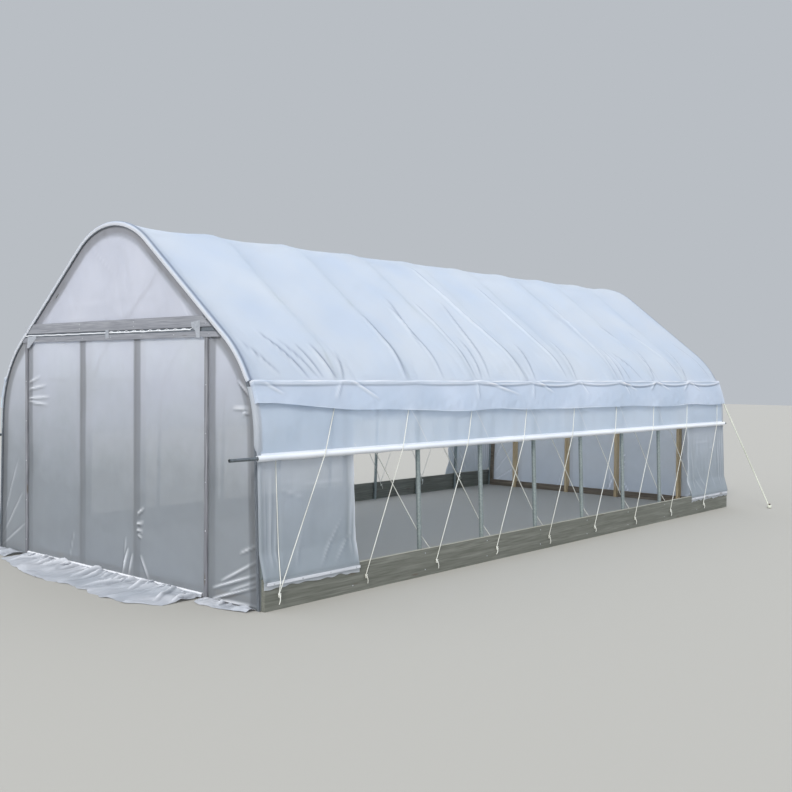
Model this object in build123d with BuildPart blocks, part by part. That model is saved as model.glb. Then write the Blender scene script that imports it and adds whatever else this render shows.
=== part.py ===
from build123d import *
from math import acos, asin, atan2, cos, radians, sin, tan
import os

# Polytunnel with roll-up sides and timber-framed ends. Millimetres.
# Y runs along the tunnel, with 0 in the plane of the front bow; X is across it, Z up from the ground.

# Arch, measured on the centre line of its pipe
half_span = 1950            # at the ground
leg_lean = radians(2)
rafter_pitch = radians(38.5)
ridge_height = 3030
ridge_radius = 815
shoulder_radius = 975
bow_radius = 21
bow_sides = 6

# Length
bow_count = 10
bow_spacing = 914.4

# Film and running gaps
film = 4
seat = 0.3

# Sides
hip_turn = radians(25)      # how far up its shoulder bend the hip rail sits
hip_rail_width = 40
rope_radius = 4
rope_sides = 6
rope_gap = 0.6
flap_drop_front = 190       # from the hip to the loose hem, which hangs lower towards the rear
flap_drop_rear = 300
curtain_drop = 550          # from the hip to the middle of the roll, with the curtain half raised
roll_pipe_radius = 13
roll_radius = 26
roll_overhang_front = 320
roll_overhang_rear = 60
board_thickness = 38
board_height = 235
board_joints = (4, 8)       # bows that carry the butt joints of the side boards
corner_film_front = 988     # how far the fixed corner film runs along the side
corner_film_rear = 1070
corner_film_free_height = 420
corner_film_hem = 165
corner_batten = (10, 22)

# Lacing of the roll-up sides
eye_height = 120
inner_eye_height = 190
inner_wrap_height = 400
inner_wrap_gap = 3.5
first_eye = 0.11            # in bays from the front bow
eye_offset = 0.16           # in bays behind each later bow

# End walls
stud_width = 38
stud_depth = 89
stud_places = (-1430, -480, 360, 1330)
kick_height = 89
rail_depth = 38
nailer_width = 45
nailer_depth = 38
gable_rise = 820            # from the top plate to the ridge
plate_height = 89
header_depth = 19
header_gap = 36
header_rail_height = 45
channel_height = 30
channel_depth = 10
arch_channel_width = 24
batten_width = 38
batten_depth = 14
foot_batten_height = 20
foot_batten_low = 14

# Skirt of spare film on the ground before an end wall: distance out at places across the wall
centre_skirt = ((-1400, 280), (-1000, 380), (-400, 520), (100, 460), (700, 540), (1000, 530), (1290, 400))
side_skirt = ((1370, 110), (1600, 150), (1920, 90))

# Ridge and rear stays
ridge_pipe_radius = 17
stay_radius = 8
stay_top_drop = 83          # below the hip
stay_foot_out = 2472
stay_foot_back = 295
stake_radius = 12
stake_height = 60

length = (bow_count - 1) * bow_spacing
frame_face = bow_radius     # the end frames stand flush with the outer side of the end bows
film_face = frame_face + seat + film
trim_face = film_face + seat


def arch_points(grow):
    """Foot, shoulder, ridge, shoulder, foot of a line drawn `grow` outside the pipe's centre line."""
    foot = half_span + grow / cos(leg_lean)
    top = ridge_height + ridge_radius * (1 / cos(rafter_pitch) - 1) + grow / cos(rafter_pitch)
    shoulder_x = (foot - tan(leg_lean) * top) / (1 - tan(leg_lean) * tan(rafter_pitch))
    shoulder_z = top - shoulder_x * tan(rafter_pitch)
    return [(-foot, 0), (-shoulder_x, shoulder_z), (0, top), (shoulder_x, shoulder_z), (foot, 0)]


# The shoulder bend's centre is where the shoulder corner would be with the bend's radius taken away
shoulder_centre = Vector(*arch_points(-shoulder_radius)[3])
hip_height = shoulder_centre.Y + shoulder_radius * sin(hip_turn)
roll_height = hip_height - curtain_drop
plate_low = ridge_height - gable_rise - plate_height
header_rail_low = plate_low - header_gap - header_rail_height


def on_arch(height, grow):
    """Half width of the arch at a height on its leg or shoulder, `grow` outside the centre line."""
    radius = shoulder_radius + grow
    above_centre = height - shoulder_centre.Y
    if above_centre < radius * sin(leg_lean):
        return half_span + grow / cos(leg_lean) - height * tan(leg_lean)
    return shoulder_centre.X + radius * cos(asin(above_centre / radius))


def arch_radii(grow):
    return [shoulder_radius + grow, ridge_radius + grow, shoulder_radius + grow]


def arch_area(grow):
    """All that lies under the arch, as a flat area in the plane of a bow."""
    points = arch_points(grow)
    with BuildSketch() as area:
        with BuildLine():
            FilletPolyline(*points, radius=arch_radii(grow))
            Line(points[-1], points[0])
        make_face()
    return area.sketch


def arch_band(inner, outer, low, high, side=0):
    """Strip of the arch between two heights; side 1 keeps its right half only."""
    across = 2 * (half_span + outer + film)
    with BuildSketch() as band:
        add(arch_area(outer))
        add(arch_area(inner), mode=Mode.SUBTRACT)
        with Locations((side * across / 2, (low + high) / 2)):
            Rectangle(across, high - low, mode=Mode.INTERSECT)
    return band.sketch


def bow_plane(y):
    """Plane across the tunnel; an extrusion from it runs towards the front."""
    return Plane.XZ.offset(-y)


def keep(piece, name):
    piece.part.label = name
    export_step(piece.part, f"parts/{name}.step")


def keep_pair(piece, name):
    """Write a right-hand piece and its mirror image on the left."""
    keep(piece, f"{name}_right")
    with BuildPart() as left:
        add(mirror(piece.part, about=Plane.YZ, mode=Mode.PRIVATE))
    keep(left, f"{name}_left")


def keep_ends(piece, name):
    """Write a piece of the front wall and its mirror image on the rear wall."""
    keep(piece, f"front_{name}")
    with BuildPart() as rear:
        add(mirror(piece.part, about=bow_plane(length / 2), mode=Mode.PRIVATE))
    keep(rear, f"rear_{name}")


os.makedirs("parts", exist_ok=True)

# Bows: one bent pipe each, standing on both feet, drawn with few sides and a corner facing out
for number in range(bow_count):
    with BuildPart() as bow:
        with BuildLine(bow_plane(number * bow_spacing)) as bend:
            FilletPolyline(*arch_points(0), radius=arch_radii(0))
        with BuildSketch(Plane(origin=bend.line @ 0, x_dir=(0, 1, 0), z_dir=bend.line % 0)):
            RegularPolygon(bow_radius, bow_sides, rotation=90)
        sweep()
        # the feet are cut level where they meet the ground
        split(bisect_by=Plane.XY)
    keep(bow, f"bow_{number + 1}")

# Ridge pipe under the bows, from one end wall to the other
ridge_pipe_end = nailer_depth - frame_face + seat
with BuildPart() as ridge_pipe:
    with BuildSketch(bow_plane(length - ridge_pipe_end)):
        with Locations((0, ridge_height - bow_radius - seat - ridge_pipe_radius)):
            Circle(ridge_pipe_radius)
    extrude(amount=length - 2 * ridge_pipe_end)
keep(ridge_pipe, "ridge_pipe")

# Layers outside the bows, from the pipe outwards
inner_skin = bow_radius + seat
curtain_skin = inner_skin + film + seat
roll_x = on_arch(roll_height, curtain_skin + roll_radius)
rail_top = hip_height + hip_rail_width / 2
rail_low = hip_height - hip_rail_width / 2

# A taut rope outside the curtain bends over the roll and then runs up at a tangent to the curtain
roll_wrap = roll_radius + rope_radius + rope_gap
curtain_wrap = shoulder_radius + curtain_skin + film + rope_radius + rope_gap
roll_from_centre = Vector(roll_x + roll_wrap, roll_height) - shoulder_centre
touch_angle = atan2(roll_from_centre.Y, roll_from_centre.X) + acos(curtain_wrap / roll_from_centre.length)


def rope_from_centre(height):
    """Where the middle of that rope is at a height, from the shoulder bend's centre."""
    rise = height - shoulder_centre.Y
    return Vector((curtain_wrap - rise * sin(touch_angle)) / cos(touch_angle), rise)


rope_top_z = rail_low - rope_radius
rope_top_from_centre = rope_from_centre(rope_top_z)
rope_at_hem_from_centre = rope_from_centre(hip_height - flap_drop_rear)
rope_reach = max(rope_top_from_centre.length, rope_at_hem_from_centre.length)
flap_skin = rope_reach - shoulder_radius + rope_radius + rope_gap

with BuildPart() as hip_rail:
    with BuildSketch(bow_plane(length + bow_radius)):
        add(arch_band(inner_skin, flap_skin - seat, rail_low, rail_top, side=1))
    extrude(amount=length + 2 * bow_radius)
    mirror(about=Plane.YZ)
keep(hip_rail, "hip_rails")

with BuildPart() as roof_film:
    with BuildSketch(bow_plane(length + film_face)):
        add(arch_band(inner_skin, inner_skin + film, rail_top + seat, 2 * ridge_height))
    extrude(amount=length + 2 * film_face)
keep(roof_film, "roof_film")

with BuildPart() as hip_flap:
    with BuildSketch(bow_plane(length + film_face)):
        add(arch_band(flap_skin, flap_skin + film, hip_height - flap_drop_rear, rail_top, side=1))
    extrude(amount=length + 2 * film_face)
    split(bisect_by=Plane(
        origin=(0, -film_face, hip_height - flap_drop_front),
        x_dir=(1, 0, 0),
        z_dir=(0, flap_drop_rear - flap_drop_front, length + 2 * film_face),
    ))
keep_pair(hip_flap, "hip_flap")

# Roll-up curtain: a sheet hanging from the hip rail, wound on a pipe
with BuildPart() as curtain:
    with BuildSketch(bow_plane(length)):
        add(arch_band(curtain_skin, curtain_skin + film, roll_height, rail_low - seat, side=1))
        with Locations((roll_x, roll_height)):
            Circle(roll_radius)
            Circle(roll_pipe_radius + seat, mode=Mode.SUBTRACT)
    extrude(amount=length)
keep_pair(curtain, "curtain")

with BuildPart() as roll_pipe:
    with BuildSketch(bow_plane(length + roll_overhang_rear)):
        with Locations((roll_x, roll_height)):
            Circle(roll_pipe_radius)
            Circle(roll_pipe_radius - 3, mode=Mode.SUBTRACT)
    extrude(amount=length + roll_overhang_front + roll_overhang_rear)
    mirror(about=Plane.YZ)
keep(roll_pipe, "roll_pipes")

# Side boards on edge, outside the bow feet
board_face = half_span + bow_radius / cos(leg_lean) + seat
board_ends = [-bow_radius] + [bow * bow_spacing for bow in board_joints] + [length + bow_radius]
with BuildPart() as side_boards:
    for start, end in zip(board_ends, board_ends[1:]):
        with BuildSketch(bow_plane(end - seat)):
            with Locations((board_face, 0)):
                Rectangle(board_thickness, board_height, align=Align.MIN)
        extrude(amount=end - start - 2 * seat)
keep_pair(side_boards, "side_boards")

# Fixed film at each corner, from the hip rail down to the outer face of the side board
hem_face = board_face + board_thickness + seat
with BuildPart() as corner_films:
    for end, run in ((corner_film_front, corner_film_front + film_face),
                     (length + film_face, corner_film_rear + film_face)):
        with BuildSketch(bow_plane(end)):
            add(arch_band(inner_skin, inner_skin + film, corner_film_free_height, rail_low - seat, side=1))
            with BuildLine():
                Polyline(
                    (on_arch(corner_film_free_height, inner_skin), corner_film_free_height),
                    (hem_face, board_height + seat),
                    (hem_face, corner_film_hem),
                    (hem_face + film, corner_film_hem),
                    (hem_face + film, board_height + seat + film),
                    (on_arch(corner_film_free_height, inner_skin + film), corner_film_free_height),
                    close=True,
                )
            make_face()
        extrude(amount=run)
keep_pair(corner_films, "corner_films")

batten_low = board_height - 2 * corner_batten[1]
with BuildPart() as corner_battens:
    for end, run in ((corner_film_front, corner_film_front), (length, corner_film_rear)):
        with BuildSketch(bow_plane(end)):
            with Locations((hem_face + film + seat, batten_low)):
                Rectangle(*corner_batten, align=Align.MIN)
        extrude(amount=run)
    mirror(about=Plane.YZ)
keep(corner_battens, "corner_battens")

# Lacing: outside the curtain each strand climbs towards the rear, inside it climbs towards the front
eyes = [first_eye] + [bay + eye_offset for bay in range(1, bow_count - 1)]
over_roll = Vector(roll_x + roll_wrap, roll_height + roll_wrap * tan(touch_angle / 2))
roll_share = (over_roll.Y - eye_height) / (rope_top_z - eye_height)


def strand_foot(face, edge_height):
    """Half width of a strand's foot, where the strand just clears an outer face up to its top edge."""
    clear = face + rope_radius + rope_gap
    lean = (clear - over_roll.X) / (over_roll.Y - edge_height)
    return over_roll.X + lean * (over_roll.Y - eye_height)


board_outside = board_face + board_thickness
batten_outside = hem_face + film + seat + corner_batten[0]
with BuildPart() as lacing:
    for bay, eye in enumerate(eyes):
        start = eye * bow_spacing
        end = (bay + 1) * bow_spacing - 2 * bow_radius
        # a strand in front of a corner film passes over its batten
        over_batten = start < corner_film_front or start > length - corner_film_rear
        if over_batten:
            foot_x = strand_foot(batten_outside, batten_low + corner_batten[1])
        else:
            foot_x = strand_foot(board_outside, board_height)
        with BuildLine() as strand:
            FilletPolyline(
                (foot_x, start, eye_height),
                (over_roll.X, start + roll_share * (end - start), over_roll.Y),
                (shoulder_centre.X + rope_top_from_centre.X, end, rope_top_z),
                radius=roll_wrap,
            )
        with BuildSketch(Plane(origin=strand.line @ 0, z_dir=strand.line % 0)):
            RegularPolygon(rope_radius, rope_sides)
        sweep()

    leg_inside = -bow_radius - rope_radius - inner_wrap_gap
    for bay, eye in enumerate(eyes):
        foot = (board_face - seat - rope_radius, eye * bow_spacing, inner_eye_height)
        # each strand but the first bends round the inside of the leg before it
        leg = (on_arch(inner_wrap_height, leg_inside), bay * bow_spacing, inner_wrap_height)
        tied_bow = max(bay - 1, 0) * bow_spacing
        top = (on_arch(hip_height, 0), tied_bow + bow_radius + rope_radius + seat, hip_height)
        with BuildLine() as strand:
            if bay == 0:
                Line(foot, top)
            else:
                FilletPolyline(foot, leg, top, radius=bow_radius + rope_radius)
        with BuildSketch(Plane(origin=strand.line @ 0, z_dir=strand.line % 0)):
            RegularPolygon(rope_radius, rope_sides)
        sweep()
keep_pair(lacing, "lacing")

# End walls, drawn at the front and mirrored to the rear
nailer_outside = -bow_radius - seat
nailer_inside = nailer_outside - nailer_width


def front_plane(depth):
    """Plane across the front wall, `depth` behind the plane of the front bow."""
    return bow_plane(depth)


with BuildPart() as nailer:
    with BuildSketch(front_plane(nailer_depth - frame_face)):
        add(arch_band(nailer_inside, nailer_outside, 0, 2 * ridge_height))
    extrude(amount=nailer_depth)
keep_ends(nailer, "nailer")

with BuildPart() as studs:
    with BuildSketch(front_plane(stud_depth - frame_face)):
        for place in stud_places:
            with Locations((place, 0)):
                Rectangle(stud_width, plate_low - seat, align=(Align.CENTER, Align.MIN))
        add(arch_area(nailer_inside - seat), mode=Mode.INTERSECT)
    extrude(amount=stud_depth)
keep_ends(studs, "studs")

# Rails flush with the outer face of the studs: one over them, and kick boards between their feet
with BuildPart() as rails:
    with BuildSketch(front_plane(rail_depth - frame_face)):
        for low, height in ((plate_low, plate_height), (0, kick_height)):
            with Locations((0, low)):
                Rectangle(2 * half_span, height, align=(Align.CENTER, Align.MIN))
        add(arch_area(nailer_inside - seat), mode=Mode.INTERSECT)
        for place in stud_places:
            with Locations((place, 0)):
                Rectangle(stud_width + 2 * seat, 2 * kick_height, mode=Mode.SUBTRACT)
    extrude(amount=rail_depth)
keep_ends(rails, "rails")

# Film on the outside: one sheet above the lock channel, one below it
channel_middle = plate_low - header_gap / 2
with BuildPart() as gable_film:
    with BuildSketch(front_plane(-frame_face - seat)):
        add(arch_area(bow_radius))
        with Locations((0, channel_middle + seat)):
            Rectangle(3 * half_span, 2 * ridge_height, align=(Align.CENTER, Align.MIN), mode=Mode.INTERSECT)
    extrude(amount=film)
keep_ends(gable_film, "gable_film")

with BuildPart() as wall_film:
    with BuildSketch(front_plane(-frame_face - seat)):
        add(arch_area(bow_radius))
        with Locations((0, film + seat)):
            Rectangle(3 * half_span, channel_middle - film - seat,
                      align=(Align.CENTER, Align.MIN), mode=Mode.INTERSECT)
    extrude(amount=film)
keep_ends(wall_film, "wall_film")

# Trim outside the film
with BuildPart() as header:
    with BuildSketch(front_plane(-trim_face)):
        for low, height in ((plate_low, plate_height), (header_rail_low, header_rail_height)):
            with Locations((0, low)):
                Rectangle(2 * half_span, height, align=(Align.CENTER, Align.MIN))
        add(arch_area(nailer_outside), mode=Mode.INTERSECT)
    extrude(amount=header_depth)
keep_ends(header, "header")

# Channels that lock the film: one across the wall, one along the end bow
with BuildPart() as film_channels:
    with BuildSketch(front_plane(-trim_face)):
        with Locations((0, channel_middle)):
            Rectangle(2 * half_span, channel_height)
        add(arch_area(nailer_outside), mode=Mode.INTERSECT)
        add(arch_band(-arch_channel_width / 2, arch_channel_width / 2, 0, 2 * ridge_height))
    extrude(amount=channel_depth)
keep_ends(film_channels, "film_channels")

with BuildPart() as wall_battens:
    with BuildSketch(front_plane(-trim_face)):
        for place in (stud_places[0], stud_places[-1]):
            with Locations((place, 0)):
                Rectangle(batten_width, header_rail_low - seat, align=(Align.CENTER, Align.MIN))
        post_gap = batten_width / 2 + seat
        with Locations((stud_places[0] + post_gap, foot_batten_low)):
            Rectangle(stud_places[-1] - stud_places[0] - 2 * post_gap, foot_batten_height, align=Align.MIN)
    extrude(amount=batten_depth)
keep_ends(wall_battens, "wall_battens")

# Spare film running from under the wall film out over the ground, in two pieces parted at the near post
with BuildPart() as skirt:
    for reach in (centre_skirt, side_skirt):
        with BuildSketch():
            with BuildLine():
                Polyline(
                    (reach[0][0], -frame_face - seat),
                    *[(x, -film_face - out) for x, out in reach],
                    (reach[-1][0], -frame_face - seat),
                    close=True,
                )
            make_face()
        extrude(amount=film)
keep_ends(skirt, "skirt")

# Stays from the channel on the rear bow to stakes in the ground
with BuildPart() as stays:
    stay_top = hip_height - stay_top_drop
    top = Vector(on_arch(stay_top, 0), length + trim_face + channel_depth + seat + stay_radius, stay_top)
    foot = Vector(stay_foot_out, length + stay_foot_back, stake_height - stay_radius)
    with BuildSketch(Plane(origin=foot, z_dir=top - foot)):
        Circle(stay_radius)
    extrude(amount=(top - foot).length)
    mirror(about=Plane.YZ)
keep(stays, "stays")

with BuildPart() as stakes:
    with BuildSketch():
        with Locations((stay_foot_out + stay_radius + stake_radius, length + stay_foot_back)):
            Circle(stake_radius)
    extrude(amount=stake_height)
    mirror(about=Plane.YZ)
keep(stakes, "stakes")
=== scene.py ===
# %% [markdown]
# # A polytunnel, dressed in Blender
# A polytunnel is a row of bent pipes under a skin of polythene film, closed at both ends by a timber wall
# with film over it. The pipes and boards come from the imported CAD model. Film, rope and small fixings are
# made here, because what makes them look real is sag, tension and wear, and not their nominal size.

# %% Load the fixed frame
import math

import bpy
import numpy as np
from mathutils import Euler, Matrix, Vector


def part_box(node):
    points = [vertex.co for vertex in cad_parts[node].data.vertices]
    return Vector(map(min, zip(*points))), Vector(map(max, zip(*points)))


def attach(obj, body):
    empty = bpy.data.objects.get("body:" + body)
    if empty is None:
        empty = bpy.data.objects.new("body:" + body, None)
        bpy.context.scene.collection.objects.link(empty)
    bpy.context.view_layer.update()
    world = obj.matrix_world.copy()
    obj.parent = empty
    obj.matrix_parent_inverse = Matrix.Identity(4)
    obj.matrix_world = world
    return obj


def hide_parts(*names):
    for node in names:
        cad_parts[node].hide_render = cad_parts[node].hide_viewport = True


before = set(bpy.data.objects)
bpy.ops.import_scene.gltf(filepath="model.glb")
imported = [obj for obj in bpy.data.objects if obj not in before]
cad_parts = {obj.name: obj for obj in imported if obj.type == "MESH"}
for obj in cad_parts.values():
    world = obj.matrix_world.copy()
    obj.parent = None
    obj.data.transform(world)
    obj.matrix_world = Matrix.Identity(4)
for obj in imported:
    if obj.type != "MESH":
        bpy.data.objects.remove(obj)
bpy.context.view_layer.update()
MM = 0.001
print("nodes in the frame:", len(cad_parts))

# %% [markdown]
# ## The arch as a formula
# Each bow is one pipe with three bends: the ridge and two shoulders. A point of it is found by how far it
# is down from the ridge along the pipe, so film can later be laid over it by length, the way it is in
# life. Typing in points would work too, but a formula also gives the direction that faces outwards.

# %% Sizes of the arch
HALF_SPAN = 1950 * MM
LEG_LEAN = math.radians(2)
RAFTER_PITCH = math.radians(38.5)
RIDGE_HEIGHT = 3030 * MM
RIDGE_RADIUS = 815 * MM
SHOULDER_RADIUS = 975 * MM
HIP_TURN = math.radians(25)
BOW_RADIUS = 21 * MM
BOW_COUNT = 10
BOW_SPACING = 914.4 * MM
LENGTH = (BOW_COUNT - 1) * BOW_SPACING

top = RIDGE_HEIGHT - RIDGE_RADIUS + (RIDGE_RADIUS - SHOULDER_RADIUS) / math.cos(RAFTER_PITCH)
foot = HALF_SPAN - SHOULDER_RADIUS / math.cos(LEG_LEAN)
shoulder_x = (foot - math.tan(LEG_LEAN) * top) / (1 - math.tan(LEG_LEAN) * math.tan(RAFTER_PITCH))
shoulder_z = top - shoulder_x * math.tan(RAFTER_PITCH)

RIDGE_RUN = RIDGE_RADIUS * RAFTER_PITCH
RAFTER_RUN = math.hypot(
    shoulder_x + (SHOULDER_RADIUS - RIDGE_RADIUS) * math.sin(RAFTER_PITCH),
    RIDGE_HEIGHT - RIDGE_RADIUS - shoulder_z + (RIDGE_RADIUS - SHOULDER_RADIUS) * math.cos(RAFTER_PITCH),
)
SHOULDER_TURN = math.pi / 2 - RAFTER_PITCH - LEG_LEAN
SHOULDER_RUN = SHOULDER_RADIUS * SHOULDER_TURN
LEG_RUN = (shoulder_z + SHOULDER_RADIUS * math.sin(LEG_LEAN)) / math.cos(LEG_LEAN)
HALF_RUN = RIDGE_RUN + RAFTER_RUN + SHOULDER_RUN + LEG_RUN


def arch(run, grow=0.0):
    """x and z of the arch, `run` metres down from the ridge and `grow` outside the pipe's middle.

    The run is positive on the right and negative on the left.
    """
    run, grow = np.asarray(run, float), np.asarray(grow, float)
    left = np.abs(run)
    ridge_turn = np.clip(left, 0, RIDGE_RUN) / RIDGE_RADIUS
    rafter = np.clip(left - RIDGE_RUN, 0, RAFTER_RUN)
    shoulder_turn = np.clip(left - RIDGE_RUN - RAFTER_RUN, 0, SHOULDER_RUN) / SHOULDER_RADIUS
    leg = np.clip(left - RIDGE_RUN - RAFTER_RUN - SHOULDER_RUN, 0, None)
    steep = RAFTER_PITCH + shoulder_turn
    turn = ridge_turn + shoulder_turn
    x = RIDGE_RADIUS * np.sin(ridge_turn) + rafter * math.cos(RAFTER_PITCH)
    x += SHOULDER_RADIUS * (np.sin(steep) - math.sin(RAFTER_PITCH)) + leg * math.sin(LEG_LEAN)
    z = RIDGE_HEIGHT - RIDGE_RADIUS * (1 - np.cos(ridge_turn)) - rafter * math.sin(RAFTER_PITCH)
    z += SHOULDER_RADIUS * (np.cos(steep) - math.cos(RAFTER_PITCH)) - leg * math.cos(LEG_LEAN)
    side = np.where(run < 0, -1.0, 1.0)
    return side * (x + grow * np.sin(turn)), z + grow * np.cos(turn)


def run_at(height, grow=0.0):
    """How far down the arch a height is met."""
    runs = np.linspace(0, HALF_RUN, 4000)
    heights = arch(runs, grow)[1]
    return np.interp(height, heights[::-1], runs[::-1])


def half_width(height, grow=0.0):
    """Half the arch's width at a height."""
    return arch(run_at(height, grow), grow)[0]


HIP_HEIGHT = shoulder_z + SHOULDER_RADIUS * math.sin(HIP_TURN)
print(f"arch: {2 * HALF_RUN:.2f} m of pipe, hip at {HIP_HEIGHT:.3f} m")

# %% [markdown]
# ## Camera first
# The photograph was taken at eye height from the near front corner. Its place and lens were worked out
# from the arch, the posts and the lacing, so the camera is set by numbers and not by eye.

# %% Camera
EYE = Vector((7.532, -4.853, 1.753))
YAW, PITCH, ROLL = 0.72154, -0.02073, 0.00761
FOCAL_PIXELS, FRAME_PIXELS = 993.27, 792
SENSOR_MM = 36

forward = Vector((-math.sin(YAW) * math.cos(PITCH), math.cos(YAW) * math.cos(PITCH), math.sin(PITCH)))
level = Vector((math.cos(YAW), math.sin(YAW), 0))
upright = level.cross(forward)
right_hand = math.cos(ROLL) * level + math.sin(ROLL) * upright
up_hand = math.cos(ROLL) * upright - math.sin(ROLL) * level

camera = bpy.data.objects.new("camera", bpy.data.cameras.new("camera"))
bpy.context.scene.collection.objects.link(camera)
camera.data.sensor_width = SENSOR_MM
camera.data.lens = SENSOR_MM * FOCAL_PIXELS / FRAME_PIXELS
turned = Matrix((right_hand, up_hand, -forward)).transposed()
camera.matrix_world = Matrix.Translation(EYE) @ turned.to_4x4()
bpy.context.scene.camera = camera
print(f"camera lens {camera.data.lens:.1f} mm")

# %% [markdown]
# ## Colours and nodes
# Colours are written as they look on a screen, and one function turns them to the linear values that
# shaders take. One small function adds any node, with its settings and what goes into it. Most finishes
# here are coats of colour laid over each other, each with a pattern that says where it shows, so one loop
# does that.

# %% Helpers for materials


def linear(code):
    """A hex colour as the linear colour that a shader takes."""
    channels = [int(code[place:place + 2], 16) / 255 for place in (1, 3, 5)]
    return [c / 12.92 if c <= 0.04045 else ((c + 0.055) / 1.055) ** 2.4 for c in channels] + [1.0]


def add(tree, kind, inputs=(), **settings):
    """Add a node. Inputs go by socket, or in order into the sockets that are in use.

    Each is a value, an output, or a whole node, which stands for its first output.
    """
    node = tree.nodes.new(kind)
    for name, value in settings.items():
        setattr(node, name, value)
    if isinstance(inputs, dict):
        pairs = [(node.inputs[socket], value) for socket, value in inputs.items()]
    else:
        pairs = zip([socket for socket in node.inputs if socket.enabled], inputs)
    for socket, value in pairs:
        if isinstance(value, bpy.types.Node):
            value = next(output for output in value.outputs if output.enabled)
        if isinstance(value, bpy.types.NodeSocket):
            tree.links.new(value, socket)
        else:
            socket.default_value = value
    return node


def blank(name):
    """A new material with nothing in it but the place of each point on the object."""
    material = bpy.data.materials.new(name)
    material.use_nodes = True
    tree = material.node_tree
    tree.nodes.clear()
    return material, tree, add(tree, "ShaderNodeTexCoord").outputs["Object"]


def patches(tree, place, scales, detail=3.0, distortion=0.0):
    """Cloudy patches that repeat so many times a metre along X, Y and Z."""
    stretched = add(tree, "ShaderNodeMapping", {"Vector": place, "Scale": scales})
    return add(tree, "ShaderNodeTexNoise", {
        "Vector": stretched, "Scale": 1.0, "Detail": detail, "Distortion": distortion})


def coated(tree, colour, coats):
    """Lay coats over a colour.

    A coat is its colour and where it shows: a share, or a value and how its span is stretched, from low and
    high to the shares there.
    """
    colour = linear(colour)
    for shade, value, *span in coats:
        share = add(tree, "ShaderNodeMapRange", (value, *span)) if span else value
        colour = add(tree, "ShaderNodeMix", (share, colour, linear(shade)), data_type="RGBA")
    return colour


# %% [markdown]
# ## Polythene film
# The skin is blown polyethylene film, 0.15 mm thick and milky. It scatters light both ways: some comes
# back like paint, some goes through and glows on the far side, and a little passes straight, so posts and
# ropes close behind it show as soft shapes. So the material mixes three shaders: Principled for what
# comes back, Translucent for the glow, and Transparent for what passes. Glass would be too clean, and its
# shadows black. Creases too fine for the mesh are bump, drawn 2 to 4 cm apart, coarser than life, so that
# they show. On a hard crease the film is painted whiter and closes up, partly because creased film whitens
# and partly as a painted highlight. The hollow beside the crease is painted darker, which is painted shade.
# The sheets carry that as an attribute named crease: above 0 on a crest, below 0 in a hollow.

# %% Film materials
# Colour painted on crests: partly the whitening of hard creases, partly a painted highlight
CREASE_WHITE = "#FAFBFE"
POST_EDGE = 14 * MM           # how far inside a post's edge its dull band starts to fade
FADE = 25 * MM
PRESSED_LINE = (4 * MM, 7 * MM)


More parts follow.
